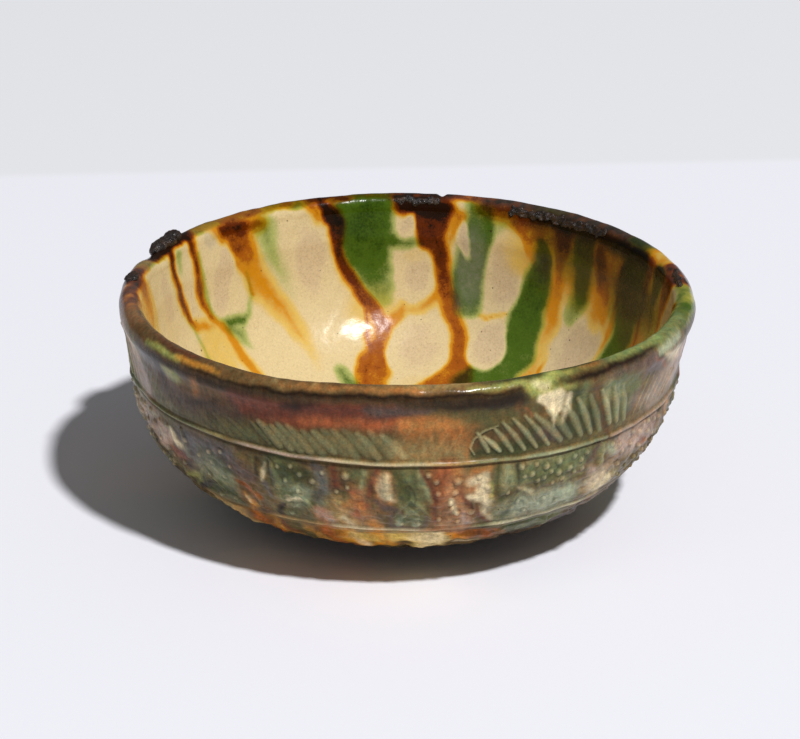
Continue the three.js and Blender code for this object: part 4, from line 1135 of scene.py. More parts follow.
class Relief:
    """The moulded face at each place of a wall: its height in millimetres, and what the glaze does on it."""

    def __init__(self, wall, moulded=False):
        self.wall = wall
        self.sizes = bpy.context.scene.bowl_relief
        self.height = plain_relief(wall)
        self.crest, self.tip, self.valley, self.line = (wall.blank() for _ in range(4))
        if moulded:
            self.fronds()
            self.leaves()
            self.pearls()
            self.petals()
            self.lines()

    def rise(self, name):
        """One of the ornament's sizes, in millimetres."""
        return getattr(self.sizes, name) / MM

    def fronds(self):
        """Pressed fronds round the band between lip and ridge."""
        wall, rise = self.wall, self.rise("frond_rise")
        shape = wall.blank()
        for index in range(self.sizes.frond_count):
            start = FIRST_FROND + 360 / self.sizes.frond_count * index
            shape = np.maximum(shape, frond(wall, start, rise, index % 2 == 0))
        shape *= 1 - 0.85 * wall.oval(211, 9, 13, 8, 0, 0.5, False)
        band = ease((wall.true_run - 7.6) / 1.2) * ease((13.2 - wall.true_run) / 0.6)
        self.height = self.height + shape - 0.05 * band
        self.crest = np.maximum(self.crest, np.clip(shape / rise, 0, 1))
        self.valley += 0.5 * band * (1 - np.clip(self.crest * 2, 0, 1))

    def leaves(self):
        """Leaves and chevrons on the belly."""
        wall, rise = self.wall, self.rise("leaf_rise")
        shape = wall.blank()
        for index in range(LEAVES):
            shape = np.maximum(shape, hanging_leaf(wall, FIRST_LEAF + 360 // LEAVES * index, rise, index))
        self.height = self.height + shape
        self.crest = np.maximum(self.crest, 0.4 * shape / rise)
        belly = ease((wall.true_run - 15) / 1) * ease((28 - wall.true_run) / 1)
        lumps = ripples(wall.places, (0.14, 4.2, 81), (0.08, 1.6, 82))
        self.height += belly * lumps
        self.valley += belly * np.clip(-lumps * 2.6, 0, 0.5)

    def pearls(self):
        """Pearls scattered between the leaves."""
        wall, rise = self.wall, self.rise("pearl_rise")
        rng = random.Random(14)
        pearls = list(PEARLS)
        for _ in range(PEARL_TRIES):
            azimuth, run = rng.uniform(320, 576) % 360, rng.uniform(15.6, 27)
            gaps = (math.hypot(turned(azimuth, p[0]) * BELLY_DEGREE, run - p[1]) for p in pearls)
            if all(gap > PEARL_GAP for gap in gaps) and not PLACED_FROM < azimuth < PLACED_TO:
                pearls.append((azimuth, run, self.rise("pearl_radius") * rng.uniform(0.75, 1.15)))
        for azimuth, run, size in pearls:
            dome, around = (
                wall.dome([(azimuth, run - 0.05, radius), (azimuth, run + 0.05, radius)], 1.0)
                for radius in (size, size * 1.9)
            )
            beside = dome == 0
            self.tip = np.maximum(self.tip, dome)
            self.valley = np.maximum(self.valley, 0.42 * np.clip(around * beside * 2, 0, 1))
            self.height = np.maximum(self.height, self.height * beside + dome * rise * min(size / 0.55, 1.15))

    def petals(self):
        """Overlapping petals under the double line, lumpy with pooled glaze."""
        wall, rise, count = self.wall, self.rise("petal_rise"), self.sizes.petal_count
        step = 360 / count
        shape = wall.blank()
        for layer, (top, end, offset) in enumerate(((30.4, 47, 0.0), (31.6, 49, 0.5))):
            for index in range(count):
                rng = random.Random(index * 2 + layer)
                middle = FIRST_PETAL + (index + offset) * step + rng.uniform(-1.5, 1.5)
                across = turned(wall.true_azimuth, middle) / (step * 0.5)
                down = (wall.true_run - top) / (end - top)
                half = np.clip(down * 3.2, 0, 1) ** 0.55
                edge = np.abs(across) / np.maximum(half, 0.02)
                inside = (edge < 1) & (down > 0) & (down < 1.05)
                pillow = np.sqrt(np.clip(1 - edge**4, 0, 1)) * ease((1.05 - down) / 0.4) * ease(down / 0.05)
                level = rise * (0.75 if layer else 0.5) * rng.uniform(0.7, 1.15)
                rim = hump((edge - 0.86) / 0.14) * 0.25 * rise * ease((0.9 - down) / 0.3)
                shape = np.maximum(shape, np.where(inside, pillow * level + rim, 0))
                self.crest = np.maximum(self.crest, np.where(inside, 0.4 * hump((edge - 0.86) / 0.2), 0))
        lumps = ripple(wall.places, 5.0, 101)
        fade = ease((wall.section.base_edge - 2 - wall.true_run) / 6)
        fade = fade * ease((wall.true_run - 29.6) / 1.5)
        fine = ripple(wall.places, 2.1, 102)
        self.height += shape * fade + fade * (0.22 * lumps + 0.1 * fine)
        self.valley += fade * np.clip(-lumps * 0.35, 0, 0.4)

    def lines(self):
        """The moulded ridge with a groove on either side, and the double line under the belly."""
        wall, rise, half = self.wall, self.rise("ridge_rise"), self.rise("ridge_width") / 2
        azimuth = wall.true_azimuth
        offset = wall.true_run - wall.section.ridge - 0.16
        offset -= ease(turned(azimuth, 264) / 66) * ease(turned(30, azimuth) / 30)
        offset -= ripples(wall.places, (0.08, 16, 71), (0.03, 4, 72))
        level = np.clip(0.85 + 0.2 * ripple(wall.places, 7, 73), 0.5, 1.1)
        level = level * (1 - 0.8 * hump(turned(azimuth, 315.5) / 0.8))
        ridge = hump(offset / half) ** 0.6 * level
        lower = hump((offset - half - 0.24) / 0.36)
        upper = hump((offset + half + 0.22) / 0.3)
        self.height += rise * ridge - 0.16 * lower - 0.1 * upper
        # The groove under the ridge darkens the glaze through the valley: painted shade under the ridge, with
        # pooled glaze.
        depth = lower * (0.75 + 0.4 * ripple(wall.places, 11, 74)) + 0.1 * upper
        self.valley += depth * (1 - np.clip(ridge, 0, 1))
        offset = wall.true_run - LINE_RUN - ripples(wall.places, (0.15, 14, 91), (0.06, 3, 92))
        level = np.clip(0.8 + 0.3 * ripple(wall.places, 6, 93), 0.25, 1.1)
        doubled = (hump(offset / 0.9) + 0.5 * hump((offset - 1.35) / 0.45)) * level
        self.height += self.rise("line_rise") * doubled
        self.valley += 0.5 * hump((offset + 0.72) / 0.4) * level
        self.line = np.clip(np.maximum(ridge, doubled), 0, 1)
        chip = wall.oval(245.8, 22.5, 1.7, 0.5, 0, 0.4, False)
        self.height -= 0.12 * chip
        self.tip = np.maximum(self.tip, chip)


def frond(wall, start, rise, flat):
    """One pressed frond: leaning bars from its rounded tip, then finer ribs that lean the other way."""
    height = wall.blank()
    rng = random.Random(int(start) + 5)
    if not flat:
        tip = ((1.4, 12.6, 0.16), (0.5, 11.4, 0.2), (1.2, 10, 0.22), (3.2, 8.8, 0.2), (6, 8.2, 0.12))
        height = wall.dome([(start + across, run, half) for across, run, half in tip], rise * 0.8)
    count = 19 if flat else 14
    pitch = 2.28 if flat else 2.62
    for index in range(count):
        foot = start + (6.2 if flat else 4.2) + pitch * index + rng.uniform(-0.25, 0.25)
        if flat:
            lean = 4.4 + rng.uniform(-0.4, 0.4)
            top = 8.9 + rng.uniform(-0.4, 0.5) + (1.2 if index < 6 else 0)
            bottom = 12.7 + rng.uniform(-0.5, 0.3)
            half = 0.6 if index < 7 else 1.15
            strength = rng.uniform(0.6, 1.1) * (0.16 if index < 6 else 0.3 if index < 7 else 0.55)
        else:
            lean = 2.4 + min(index, 5) * 0.8 - max(index - 5, 0) * 0.42
            lean = lean + rng.uniform(-0.3, 0.3) * min(index, 2)
            top = max(9.6 - index * 0.42, 5.6) + rng.uniform(-0.7, 0.7)
            bottom = 12.6 + rng.uniform(-0.4, 0.3)
            half = 0.62 if index < 6 else 0.84
            strength = rng.uniform(0.55, 1.0)
        middle = (foot - lean * 0.45, (top + bottom) / 2, half)
        points = [(foot, bottom, half * 0.7), middle, (foot - lean, top, half * 0.5)]
        height = np.maximum(height, wall.dome(points, rise * strength * rng.uniform(0.8, 1.1)))
    for index in range(7):
        foot = start + 41 + 2.35 * index + rng.uniform(-0.3, 0.3)
        top = 6.4 + 0.45 * index + rng.uniform(-0.3, 0.3)
        strength = 0.15 if flat else 0.5
        points = [(foot, 12.8, 0.2), (foot + 1.6, (top + 13) / 2, 0.32), (foot + 3.4, top, 0.2)]
        height = np.maximum(height, wall.dome(points, rise * strength))
    return height


def hanging_leaf(wall, azimuth, rise, index):
    """A leaf under the ridge, with the chevron and the stem beside it."""
    rng = random.Random(index + 40)
    lean = rng.uniform(-0.6, 0.9)
    long = rng.uniform(0.85, 1.1)
    leaf = ((-0.5, 15.3, 0.18), (lean * 0.4, 17.4, 0.8 * long), (lean, 19.6, 1.15 * long), (lean, 20.4, 0.7))
    stem = ((-6, 22.2, 0.2), (-5.2, 24.6, 0.5), (-5.6, 27.2, 0.25))
    bars = [(1, leaf), (0.6, stem)]
    top = 21 + rng.uniform(-0.5, 0.6)
    for reach in (-3.8, 4.2):
        arm = ((5, top, 0.32), (5 + reach * 0.5, top + 1.7, 0.36), (5 + reach, top + 4.4, 0.2))
        tip = (5 + reach * 0.62, top + 5.6, 0.15)
        inner = ((5, top + 1.9, 0.22), (5 + reach * 0.42, top + 3.6, 0.26), tip)
        bars += [(0.75, arm), (0.55, inner)]
    height = wall.blank()
    for share, points in bars:
        bar = wall.dome([(azimuth + across, run, half) for across, run, half in points], rise * share)
        height = np.maximum(height, bar)
    return height


def plain_relief(wall):
    """The small unevenness of a smooth, glazed face."""
    return ripples(wall.places, (0.06, 9, 111), (0.03, 3.6, 112), (0.012, 1.6, 113))


class Web:
    """Adds nodes to one tree and links them."""

    def __init__(self, tree):
        self.tree = tree
        self.made = 0
        self.spot = None

    def add(self, kind, *inputs, **settings):
        """A node with its settings, its first inputs linked or set. Gives the node."""
        node = self.tree.nodes.new("ShaderNode" + kind)
        node.location = (self.made % 12 * 190, -(self.made // 12) * 260)
        self.made += 1
        for name, value in settings.items():
            setattr(node, name, value)
        for socket, value in zip(node.inputs, inputs):
            self.feed(socket, value)
        return node

    def feed(self, socket, value):
        """Links or sets one input."""
        if isinstance(value, bpy.types.NodeSocket):
            self.tree.links.new(value, socket)
        elif value is not None:
            socket.default_value = value

    def feed_all(self, node, **values):
        """Links or sets inputs by name, with _ for a blank."""
        for name, value in values.items():
            self.feed(node.inputs[name.replace("_", " ")], value)

    def here(self):
        """The place on the piece that is being coloured."""
        self.spot = self.spot or self.add("TexCoord").outputs["Object"]
        return self.spot

    def math(self, operation, *inputs, clamp=False):
        """A math node's result."""
        return self.add("Math", *inputs, operation=operation, use_clamp=clamp).outputs[0]

    def times(self, first, second):
        """Two values multiplied."""
        return self.math("MULTIPLY", first, second)

    def sway(self, value, amount):
        """A factor about 1 that goes up and down with a noise."""
        return self.math("MULTIPLY_ADD", self.math("SUBTRACT", value, 0.5), amount, 1.0)

    def scale(self, shade, factor):
        """A colour made lighter or darker."""
        node = self.add("VectorMath", shade, operation="SCALE")
        self.feed_all(node, Scale=factor)
        return node.outputs[0]

    def span(self, value, low, high, out_low=0.0, out_high=1.0):
        """A value eased from one range to another."""
        node = self.add("MapRange", value, low, high, out_low, out_high, interpolation_type="SMOOTHSTEP")
        return node.outputs[0]

    def mix(self, share, first, second, how="MIX"):
        """Two colours mixed by a share."""
        node = self.add("Mix", data_type="RGBA", blend_type=how, clamp_factor=True)
        self.feed(node.inputs[0], share)
        self.feed(node.inputs[6], first)
        self.feed(node.inputs[7], second)
        return node.outputs[2]

    def noise(self, size, detail, roughness, shift=0.0):
        """A noise value whose features have a size in millimetres."""
        node = self.add("TexNoise", noise_dimensions="4D")
        scale = 1 / (size * MM)
        self.feed_all(node, Vector=self.here(), W=shift, Scale=scale, Detail=detail, Roughness=roughness)
        return node.outputs[0]

    def patches(self, noise, *limits):
        """Soft-edged patches of a noise, from its settings and the limits of a span."""
        return self.span(self.noise(*noise), *limits)

    def attribute(self, name):
        """A value kept at the vertices."""
        kind = "Color" if name == "wash" else "Fac"
        return self.add("Attribute", attribute_name=name, attribute_type="GEOMETRY").outputs[kind]

    def finish(self, shader, shade, roughness, bump, height):
        """Gives a shader its colour and roughness, and bumps whose height is in millimetres."""
        relief = self.add("Bump")
        self.feed_all(relief, Distance=bump * MM, Height=height)
        self.feed_all(shader, Base_Color=shade, Roughness=roughness, Normal=relief.outputs[0])


def opaque(value):
    """A colour with full alpha, as a shader socket takes it."""
    return (*value, 1.0)


def shown(*steps):
    """A colour in display steps, as a shader socket takes it."""
    return opaque(tint(*steps))


def make_group(name, inputs, outputs):
    """An empty shader group with its sockets. Gives its web, its given values and its output node."""
    tree = bpy.data.node_groups.new(name, "ShaderNodeTree")
    for label, kind, default in inputs:
        socket = tree.interface.new_socket(label, in_out="INPUT", socket_type=kind)
        socket.default_value = default
    for label, kind in outputs:
        tree.interface.new_socket(label, in_out="OUTPUT", socket_type=kind)
    return Web(tree), tree.nodes.new("NodeGroupInput").outputs, tree.nodes.new("NodeGroupOutput")


def speckle_group():
    """Dark specks and pinholes scattered over a glaze."""
    web, given, out = make_group(
        "Specks",
        (("Amount", "NodeSocketFloat", 0.3),),
        (("Specks", "NodeSocketFloat"), ("Pits", "NodeSocketFloat")),
    )
    specks = []
    for size, odds, low, high, shift in ((1.5, 0.72, 0.05, 0.13, 0.0), (4.2, 0.62, 0.035, 0.075, 0.013)):
        moved = web.add("VectorMath", web.here(), (shift, shift, shift), operation="ADD").outputs[0]
        cells = web.add("TexVoronoi", feature="F1")
        web.feed_all(cells, Vector=moved, Scale=1 / (size * MM))
        chance = web.add("SeparateColor", cells.outputs["Color"])
        picked = web.math("GREATER_THAN", chance.outputs[0], odds)
        reach = web.add("MapRange", chance.outputs[1], 0.0, 1.0, low, high).outputs[0]
        near = web.math("SUBTRACT", 1.0, web.math("DIVIDE", cells.outputs["Distance"], reach), clamp=True)
        specks.append(web.times(picked, web.span(near, 0.0, 0.55)))
    web.feed_all(out, Specks=web.times(web.math("MAXIMUM", *specks), given["Amount"]), Pits=specks[1])
    return web.tree


def glaze_group(specks):
    """Running lead glaze: colour from how much iron and copper lie at a place, with its grain and gloss."""
    colours = bpy.context.scene.bowl_colours
    floats = ("Iron", "Copper", "Film", "Bare", "Cover", "Mottle", "Dullness")
    pigments = "cream bisque honey amber rust umber pitch leaf_thin leaf leaf_deep film".split()
    web, given, out = make_group(
        "Running glaze",
        [(label, "NodeSocketFloat", 0.0) for label in floats]
        + [("Wash", "NodeSocketColor", opaque(colours.olive))]
        + [(name + " tone", "NodeSocketColor", opaque(getattr(colours, name))) for name in pigments],
        (("Color", "NodeSocketColor"), ("Roughness", "NodeSocketFloat"), ("Height", "NodeSocketFloat")),
    )
    grain, cloud = web.noise(0.34, 3, 0.65), web.noise(1.9, 3, 0.6, 4.0)
    grain_2, cloud_2 = web.noise(0.4, 3, 0.65, 9.0), web.noise(2.6, 3, 0.55, 13.0)
    mottle = given["Mottle"]
    iron = web.times(given["Iron"], web.times(web.sway(grain, mottle), web.sway(cloud, mottle)))
    copper = web.times(given["Copper"], web.times(web.sway(grain_2, mottle), web.sway(cloud_2, mottle)))

    body = web.math("ADD", given["Bare"], web.times(web.math("SUBTRACT", cloud, 0.5), 1.3))
    shade = web.mix(web.span(body, 0.15, 0.85), given["cream tone"], given["bisque tone"])
    dusting = web.math("MULTIPLY_ADD", given["Bare"], 0.25, 0.3)
    dusting = web.times(web.patches((0.42, 5, 0.75, 21.0), 0.47, 0.7), dusting)
    shade = web.mix(dusting, shade, shown(158, 128, 92))
    for name, low, high in (
        ("honey", 0.05, 0.22),
        ("amber", 0.2, 0.4),
        ("rust", 0.44, 0.62),
        ("umber", 0.62, 0.82),
        ("pitch", 0.84, 1.08),
    ):
        shade = web.mix(web.span(iron, low, high), shade, given[name + " tone"])
    through = opaque((1, 1, 1))
    for name, low, high in (("leaf_thin", 0.04, 0.26), ("leaf", 0.2, 0.6), ("leaf_deep", 0.6, 0.95)):
        through = web.mix(web.span(copper, low, high), through, given[name + " tone"])
    shade = web.scale(web.mix(1.0, shade, through, "MULTIPLY"), web.sway(grain, 0.45))

    uneven = web.times(web.sway(grain_2, web.times(mottle, 2.4)), web.sway(cloud, web.times(mottle, 1.6)))
    painted = web.scale(given["Wash"], web.times(uneven, 1.12))
    lightness = web.add("SeparateColor", given["Wash"]).outputs[1]
    unrest = web.span(lightness, 0.15, 0.5, 1.0, 0.2)
    warmth = web.patches((1.1, 3, 0.6, 17.0), 0.3, 0.7)
    tone = web.mix(warmth, opaque((0.86, 1.0, 1.02)), opaque((1.16, 0.99, 0.84)))
    painted = web.mix(unrest, painted, web.mix(1.0, painted, tone, "MULTIPLY"))
    painted = web.mix(web.patches((0.5, 4, 0.8, 19.0), 0.6, 0.74, 0.0, 0.24), painted, shown(176, 160, 124))
    stains = web.times(unrest, web.patches((0.6, 4, 0.8, 27.0), 0.6, 0.76, 0.0, 0.5))
    painted = web.mix(stains, painted, shown(44, 34, 26))
    shade = web.mix(given["Cover"], shade, painted)

    marks = web.add("Group", node_tree=specks)
    web.feed_all(marks, Amount=0.75)
    shade = web.mix(marks.outputs["Specks"], shade, shown(58, 38, 22))
    scum = web.times(given["Film"], web.patches((0.9, 4, 0.7, 31.0), 0.25, 0.75, 0.45, 1.15))
    gloss = web.math("MULTIPLY_ADD", scum, 0.4, given["Dullness"])
    height = web.times(web.noise(1.1, 2, 0.5, 41.0), 0.7)
    height = web.math("ADD", height, web.times(web.noise(0.45, 2, 0.5, 43.0), 0.22))
    web.feed_all(
        out,
        Color=web.mix(scum, shade, given["film tone"]),
        Roughness=web.math("ADD", gloss, web.patches((1.2, 4, 0.6, 37.0), 0.4, 0.75, 0.0, 0.1)),
        Height=web.math("SUBTRACT", height, web.times(marks.outputs["Pits"], 0.9)),
    )
    return web.tree


def new_material(name):
    """An empty node material. Gives it, its web and its Principled shader."""
    material = bpy.data.materials.new(name)
    material.use_nodes = True
    material.node_tree.nodes.clear()
    web = Web(material.node_tree)
    shader = web.add("BsdfPrincipled")
    output = web.add("OutputMaterial")
    web.tree.links.new(shader.outputs[0], output.inputs["Surface"])
    return material, web, shader


def glaze_material(name, layers, bump, mottle, dullness, shine):
    """One glaze finish: the running glaze group, fed by the layers kept at the vertices."""
    specks = bpy.data.node_groups.get("Specks") or speckle_group()
    running = bpy.data.node_groups.get("Running glaze") or glaze_group(specks)
    material, web, shader = new_material(name)
    glaze = web.add("Group", node_tree=running)
    web.feed_all(glaze, Mottle=mottle, Dullness=dullness)
    for layer in layers:
        web.feed(glaze.inputs[layer.capitalize()], web.attribute(layer))
    web.finish(shader, glaze.outputs["Color"], glaze.outputs["Roughness"], bump, glaze.outputs["Height"])
    web.feed_all(shader, IOR=1.5, Specular_IOR_Level=shine)
    return material


class BOWL_OT_clay(bpy.types.Operator):
    """Build the clay body, which shows as the bare base under the glazes"""

    bl_idname = "bowl.clay"
    bl_label = "Clay body"

    def execute(self, context):
        shape = context.scene.bowl_shape
        section = Section(shape)
        edge = shape.base_radius / MM
        ring = (shape.base_radius - shape.base_ring) / MM
        hollow = shape.base_hollow / MM
        rows = [section.at(run, -shape.glaze / MM) for run in np.linspace(section.first, section.last, 120)]
        rows = [(float(r), float(z)) for r, z in rows if z > 0.35 or r < 1]
        rows += [(edge + 0.1, 0.2), (edge - 0.5, 0), (edge - 2.2, 0), (ring + 0.5, 0), (ring - 0.2, 0.18)]
        rows += [(ring - 0.9, hollow * 0.75), (ring - 2.4, hollow)]
        rows += [(ring * 0.45, hollow * 1.02), (0, hollow * 0.96)]
        bm = bmesh.new()
        verts = [bm.verts.new((max(r, 0) * MM, 0, z * MM)) for r, z in rows]
        spin(bm, verts, [bm.edges.new(pair) for pair in zip(verts, verts[1:])], 240)
        bmesh.ops.remove_doubles(bm, verts=bm.verts, dist=1e-6)
        bmesh.ops.recalc_face_normals(bm, faces=bm.faces)
        mesh = smooth_mesh("clay", bm)
        azimuth, off_axis, level = read_places(mesh)
        radius, height = settle(azimuth, off_axis, level, section.top)
        radius = np.where(off_axis < 1e-4, 0, radius)
        uneven = ripples(spread(azimuth, off_axis, level), (0.07, 3.4, 121), (0.03, 0.9, 122))
        low = (height < 2.6) & (off_axis > 0.01)
        height = np.where(low, np.maximum(height + uneven * ease((height + 0.2) / 0.5), 0), height)
        move_places(mesh, azimuth, radius, height)
        place("clay", mesh, "clay_body", self.material(context))
        return {"FINISHED"}

    def material(self, context):
        """Bare earthenware, patchy and grainy."""
        material, web, shader = new_material("bare earthenware")
        clay = opaque(context.scene.bowl_colours.clay)
        shade = web.mix(web.patches((5.0, 4, 0.6, 2.0), 0.35, 0.7), clay, shown(182, 148, 118))
        shade = web.mix(web.patches((0.4, 4, 0.7, 5.0), 0.5, 0.75, 0.0, 0.4), shade, shown(120, 92, 70))
        roughness = web.patches((1.5, 3, 0.6, 8.0), 0.3, 0.7, 0.75, 0.95)
        web.finish(shader, shade, roughness, 0.12, web.noise(0.5, 5, 0.7, 11.0))
        return material


def coat_piece(section, name, runs, steps, hidden, moulded, glazes, material, node):
    """Builds one glaze shell, paints it and puts it in its place."""
    glaze = bpy.context.scene.bowl_shape.glaze / MM
    shell = spun_shell(section, runs, steps, glaze, hidden)
    mesh, relief = finish_shell(name, *shell, section, glaze, moulded, (runs[0], runs[-1]))
    paint(mesh, glazes(relief))
    place(name, mesh, node, material)


# Runs where one glaze piece ends and the next begins.
LIP_IN, LIP_OUT = -3.6, 5.7
BAND_END, BELLY_END = 15.2, 29.22


class BOWL_OT_inner_glaze(bpy.types.Operator):
    """Build the glaze inside the bowl, with its long runs of amber, brown and green"""

    bl_idname = "bowl.inner_glaze"
    bl_label = "Inner glaze"

    def execute(self, context):
        section = Section(context.scene.bowl_shape)
        runs = np.linspace(section.first, LIP_IN, 118)
        layers = ("iron", "copper", "film", "bare")
        material = glaze_material("glossy running glaze", layers, 0.06, 0.62, 0.24, 0.34)
        coat_piece(section, "inner_glaze_run", runs, 682, 26, False, inner_glazes, material, "inner_glaze")
        return {"FINISHED"}


class BOWL_OT_lip_glaze(bpy.types.Operator):
    """Build the glaze over the rolled lip"""

    bl_idname = "bowl.lip_glaze"
    bl_label = "Lip glaze"

    def execute(self, context):
        section = Section(context.scene.bowl_shape)
        runs = np.linspace(LIP_IN, LIP_OUT, 44)
        layers = ("iron", "copper", "film", "bare", "wash", "cover", "dullness")
        material = glaze_material("lip glaze", layers, 0.07, 0.55, LIP_DULLNESS, 0.12)
        coat_piece(section, "lip_glaze_roll", runs, 1116, 16, True, lip_glazes, material, "lip_glaze")
        return {"FINISHED"}


class BOWL_OT_outer_glaze(bpy.types.Operator):
    """Build the moulded outside under its glaze: the frond band, the pearled belly and the petals"""

    bl_idname = "bowl.outer_glaze"
    bl_label = "Outer glaze"

    def execute(self, context):
        section = Section(context.scene.bowl_shape)
        layers = ("film", "wash", "cover")
        material = glaze_material("weathered outer glaze", layers, 0.07, 0.55, OUTER_DULLNESS, 0.12)
        for name, first, last, rings, steps in (
            ("frond_band", LIP_OUT, BAND_END, 56, 1488),
            ("pearled_belly", BAND_END, BELLY_END, 68, 1240),
            ("petalled_underside", BELLY_END, section.base_edge, 84, 930),
        ):
            runs = np.linspace(first, last, rings)
            coat_piece(section, name, runs, steps, 8, True, outer_glazes, material, "outer_glaze")
        return {"FINISHED"}


# Grit on the lip: CAD node, azimuth, run on the lip, length, width, rise, grains.
GRIT = (
    ("grit_lump_left", 152.4, 0.7, 6.4, 4.8, 1.3, 4),
    ("grit_lump_far_left", 175, 0.2, 3.2, 2.6, 0.5, 3),
    ("grit_crust_back", 87.5, -1.7, 8.5, 3.0, 0.3, 16),
    ("grit_crust_back_right", 53, -2.1, 24, 3.4, 0.26, 48),
    ("grit_lump_right", 6, -0.4, 7, 2.4, 0.5, 8),
)


class BOWL_OT_grit(bpy.types.Operator):
    """Build the burnt grit that stuck to the lip in the kiln"""

    bl_idname = "bowl.grit"
    bl_label = "Grit"

    def execute(self, context):
        section = Section(context.scene.bowl_shape)
        material = self.material(context)
        for index, (node, *sizes) in enumerate(GRIT):
            mesh = self.cluster(section, node + "_lump", *sizes, 300 + index)
            place(node + "_burnt", mesh, node, material)
        return {"FINISHED"}

    def grains(self, section, azimuth, run, long, wide, rise, count, rng):
        """The grains of one cluster, still apart."""
        bm = bmesh.new()
        for index in range(count):
            share = (index + 0.5) / count - 0.5
            turn = azimuth + math.degrees(share * long * 0.86 / LIP_MIDDLE) + rng.uniform(-0.4, 0.4)
            at = run + rng.uniform(-0.3, 0.3) * wide * (0.5 if count > FEW else 0.3)
            spot = settle(np.array([turn]), *(np.array([v]) for v in section.at(at)), section.top)
            radius, height = (float(v[0]) for v in spot)
            out_r = float(np.interp(at, section.run, section.out_r))
            out_z = float(np.interp(at, section.run, section.out_z))
            half_long = min(long / count * 1.5, 2.6) * rng.uniform(0.8, 1.1)
            half_wide = wide * 0.5 * rng.uniform(0.5, 1.0) * (0.55 if count > FEW else 1)
            half_high = rise * rng.uniform(0.6, 1.0)
            spin_round = Matrix.Rotation(math.radians(turn), 4, "Z")
            tilt = Matrix.Rotation(math.atan2(out_r, out_z), 4, "Y")
            centre = Matrix.Translation((radius * MM, 0, height * MM))
            size = Matrix.Diagonal((half_wide * MM, half_long * MM, half_high * MM, 1))
            bmesh.ops.create_icosphere(bm, subdivisions=3, radius=1, matrix=spin_round @ centre @ tilt @ size)
        return bm

    def cluster(self, section, name, azimuth, run, long, wide, rise, count, seed):
        """One cluster of grains, fused and roughened."""
        loose = self.grains(section, azimuth, run, long, wide, rise, count, random.Random(seed))
        mesh = smooth_mesh(name + "_grains", loose)
        helper = bpy.data.objects.new(name + "_helper", mesh)
        bpy.context.collection.objects.link(helper)
        fuse = helper.modifiers.new("fuse", "REMESH")
        fuse.mode = "VOXEL"
        fuse.voxel_size = 0.13 * MM
        fuse.adaptivity = 0
        fused = bpy.data.meshes.new_from_object(helper.evaluated_get(bpy.context.evaluated_depsgraph_get()))
        bpy.data.objects.remove(helper)
        bm = bmesh.new()
        bm.from_mesh(fused)
        for spare in (mesh, fused):
            bpy.data.meshes.remove(spare)
        axes = {"use_axis_x": True, "use_axis_y": True, "use_axis_z": True}
        for _ in range(6):
            bmesh.ops.smooth_vert(bm, verts=bm.verts, factor=0.5, **axes)
        bm.normal_update()
        spots = np.array([v.co[:] for v in bm.verts]) / MM
        coarse = 0.11 if count > FEW else 0.08
        rough = coarse * (ripple(spots, 1.5, seed + 1) + 0.8 * ripple(spots, 0.6, seed + 2))
        for vert, amount in zip(bm.verts, rough):
            vert.co += vert.normal * float(amount) * MM
        bmesh.ops.recalc_face_normals(bm, faces=bm.faces)
        return smooth_mesh(name, bm)

    def material(self, context):
        """Burnt grit, part glassy, with pale grains."""
        material, web, shader = new_material("burnt grit")
        grit = opaque(context.scene.bowl_colours.grit)
        shade = web.mix(web.patches((1.2, 4, 0.6, 2.0), 0.42, 0.68), grit, shown(62, 38, 18))
        shade = web.mix(web.patches((0.3, 3, 0.75, 6.0), 0.6, 0.7, 0.0, 0.55), shade, shown(128, 104, 84))
        roughness = web.patches((0.5, 3, 0.6, 9.0), 0.35, 0.65, 0.22, 0.7)
        web.finish(shader, shade, roughness, 0.22, web.noise(0.38, 4, 0.7, 12.0))
        web.feed_all(shader, IOR=1.55)
        return material


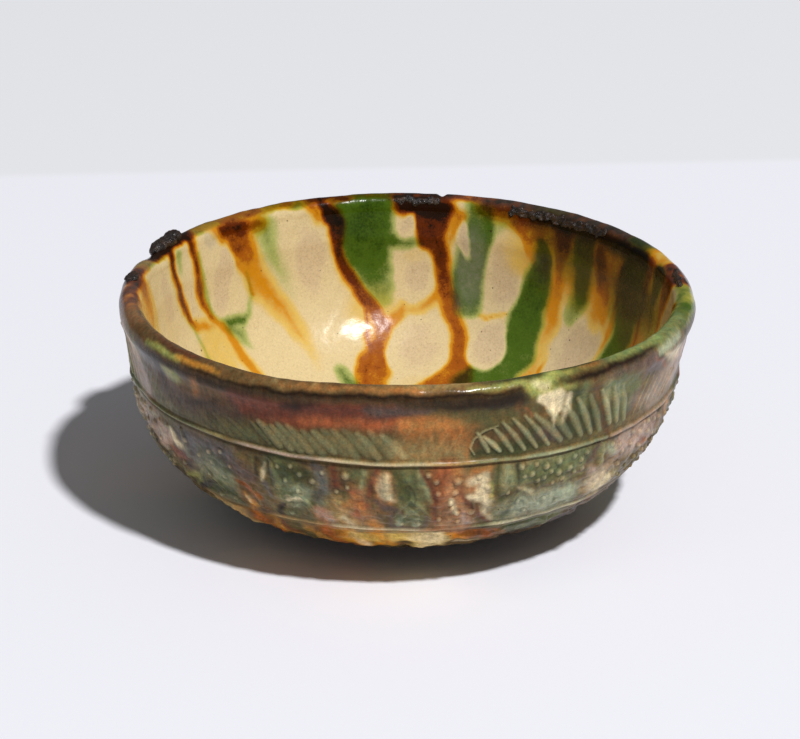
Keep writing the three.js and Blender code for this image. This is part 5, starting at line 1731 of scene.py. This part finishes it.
class BOWL_OT_stage(bpy.types.Operator):
    """Set out the table, the backdrop, the lamp, the sky and the camera"""

    bl_idname = "bowl.stage"
    bl_label = "Stage"

    def execute(self, context):
        stage = context.scene.bowl_stage
        bm = bmesh.new()
        bmesh.ops.create_grid(bm, x_segments=8, y_segments=8, size=TABLE_HALF)
        mesh = smooth_mesh("table", bm)
        table = bpy.data.objects.new("table", mesh)
        context.collection.objects.link(table)
        mesh.materials.append(self.table_material(stage))
        self.light(context, stage)
        self.camera(context, stage)
        context.scene.view_settings.view_transform = "Standard"
        return {"FINISHED"}

    def table_material(self, stage):
        """Pale table with the backdrop's tone beyond its far edge."""
        material, web, shader = new_material("pale table")
        place_at = web.add("SeparateXYZ", web.here())
        edge = web.math("MULTIPLY_ADD", place_at.outputs[0], EDGE_SLANT, place_at.outputs[1])
        beyond = web.span(edge, EDGE_NEAR, EDGE_FAR)
        shade = web.mix(beyond, opaque(stage.table), opaque(stage.backdrop))
        web.feed_all(shader, Base_Color=shade, Roughness=0.9, Specular_IOR_Level=0.1)
        return material

    def light(self, context, stage):
        """One round lamp from the front right, and an even sky."""
        way = Vector((0.38, -0.58, 1.0)).normalized()
        distance = stage.lamp_distance
        lamp_data = bpy.data.lights.new("lamp", "AREA")
        lamp_data.shape = "DISK"
        lamp_data.size = stage.lamp_size
        lamp_data.energy = stage.lamp_level * math.pi**2 * distance**2 / way.z
        lamp = bpy.data.objects.new("lamp", lamp_data)
        lamp.location = way * distance + Vector((0, 0, 0.02))
        lamp.rotation_euler = way.to_track_quat("Z", "Y").to_euler()
        context.collection.objects.link(lamp)
        world = bpy.data.worlds.new("sky")
        world.use_nodes = True
        world.node_tree.nodes.clear()
        web = Web(world.node_tree)
        seen = web.add("LightPath").outputs["Is Camera Ray"]
        level = web.add("MapRange", seen, 0.0, 1.0, stage.sky_level, 1.0).outputs[0]
        tone = web.mix(seen, opaque((1, 1, 1)), opaque(stage.backdrop))
        sky = web.add("Background", tone, level)
        output = web.add("OutputWorld")
        web.tree.links.new(sky.outputs[0], output.inputs["Surface"])
        context.scene.world = world

    def camera(self, context, stage):
        """The camera, looking down at the bowl from its front."""
        lift = math.radians(CAMERA_RISE)
        aim = Vector(CAMERA_AIM) * MM
        data = bpy.data.cameras.new("camera")
        data.sensor_width = 36
        data.lens = FOCAL_PIXELS / PICTURE_WIDTH * data.sensor_width
        data.clip_start = 0.01
        data.clip_end = 100
        camera = bpy.data.objects.new("camera", data)
        camera.location = aim + Vector((0, -math.cos(lift), math.sin(lift))) * stage.camera_distance
        facing = (aim - camera.location).to_track_quat("-Z", "Y").to_matrix().to_4x4()
        roll = Matrix.Rotation(math.radians(CAMERA_ROLL), 4, "Z")
        camera.matrix_world = Matrix.Translation(camera.location) @ facing @ roll
        context.collection.objects.link(camera)
        context.scene.camera = camera


class BOWL_PT_panel(bpy.types.Panel):
    """The bowl's pieces and settings in the sidebar"""

    bl_label = "Three-colour bowl"
    bl_idname = "BOWL_PT_panel"
    bl_space_type = "VIEW_3D"
    bl_region_type = "UI"
    bl_category = "Bowl"

    def draw(self, context):
        layout = self.layout
        for operator in PIECES:
            layout.operator(operator.bl_idname)
        for label, group in GROUPS:
            box = layout.box()
            for name in group.__annotations__:
                box.prop(getattr(context.scene, label), name)


PIECES = (
    BOWL_OT_stage,
    BOWL_OT_clay,
    BOWL_OT_inner_glaze,
    BOWL_OT_lip_glaze,
    BOWL_OT_outer_glaze,
    BOWL_OT_grit,
)
GROUPS = (
    ("bowl_shape", BowlShape),
    ("bowl_relief", BowlRelief),
    ("bowl_colours", BowlColours),
    ("bowl_stage", BowlStage),
)


def register():
    for name, group in GROUPS:
        bpy.utils.register_class(group)
        setattr(bpy.types.Scene, name, PointerProperty(type=group))
    for operator in PIECES:
        bpy.utils.register_class(operator)
    bpy.utils.register_class(BOWL_PT_panel)


def unregister():
    bpy.utils.unregister_class(BOWL_PT_panel)
    for operator in reversed(PIECES):
        bpy.utils.unregister_class(operator)
    for name, group in reversed(GROUPS):
        delattr(bpy.types.Scene, name)
        bpy.utils.unregister_class(group)


def main():
    register()
    bpy.ops.bowl.stage()
    bpy.ops.bowl.clay()
    bpy.ops.bowl.inner_glaze()
    bpy.ops.bowl.lip_glaze()
    bpy.ops.bowl.outer_glaze()
    bpy.ops.bowl.grit()


if __name__ == "__main__":
    main()
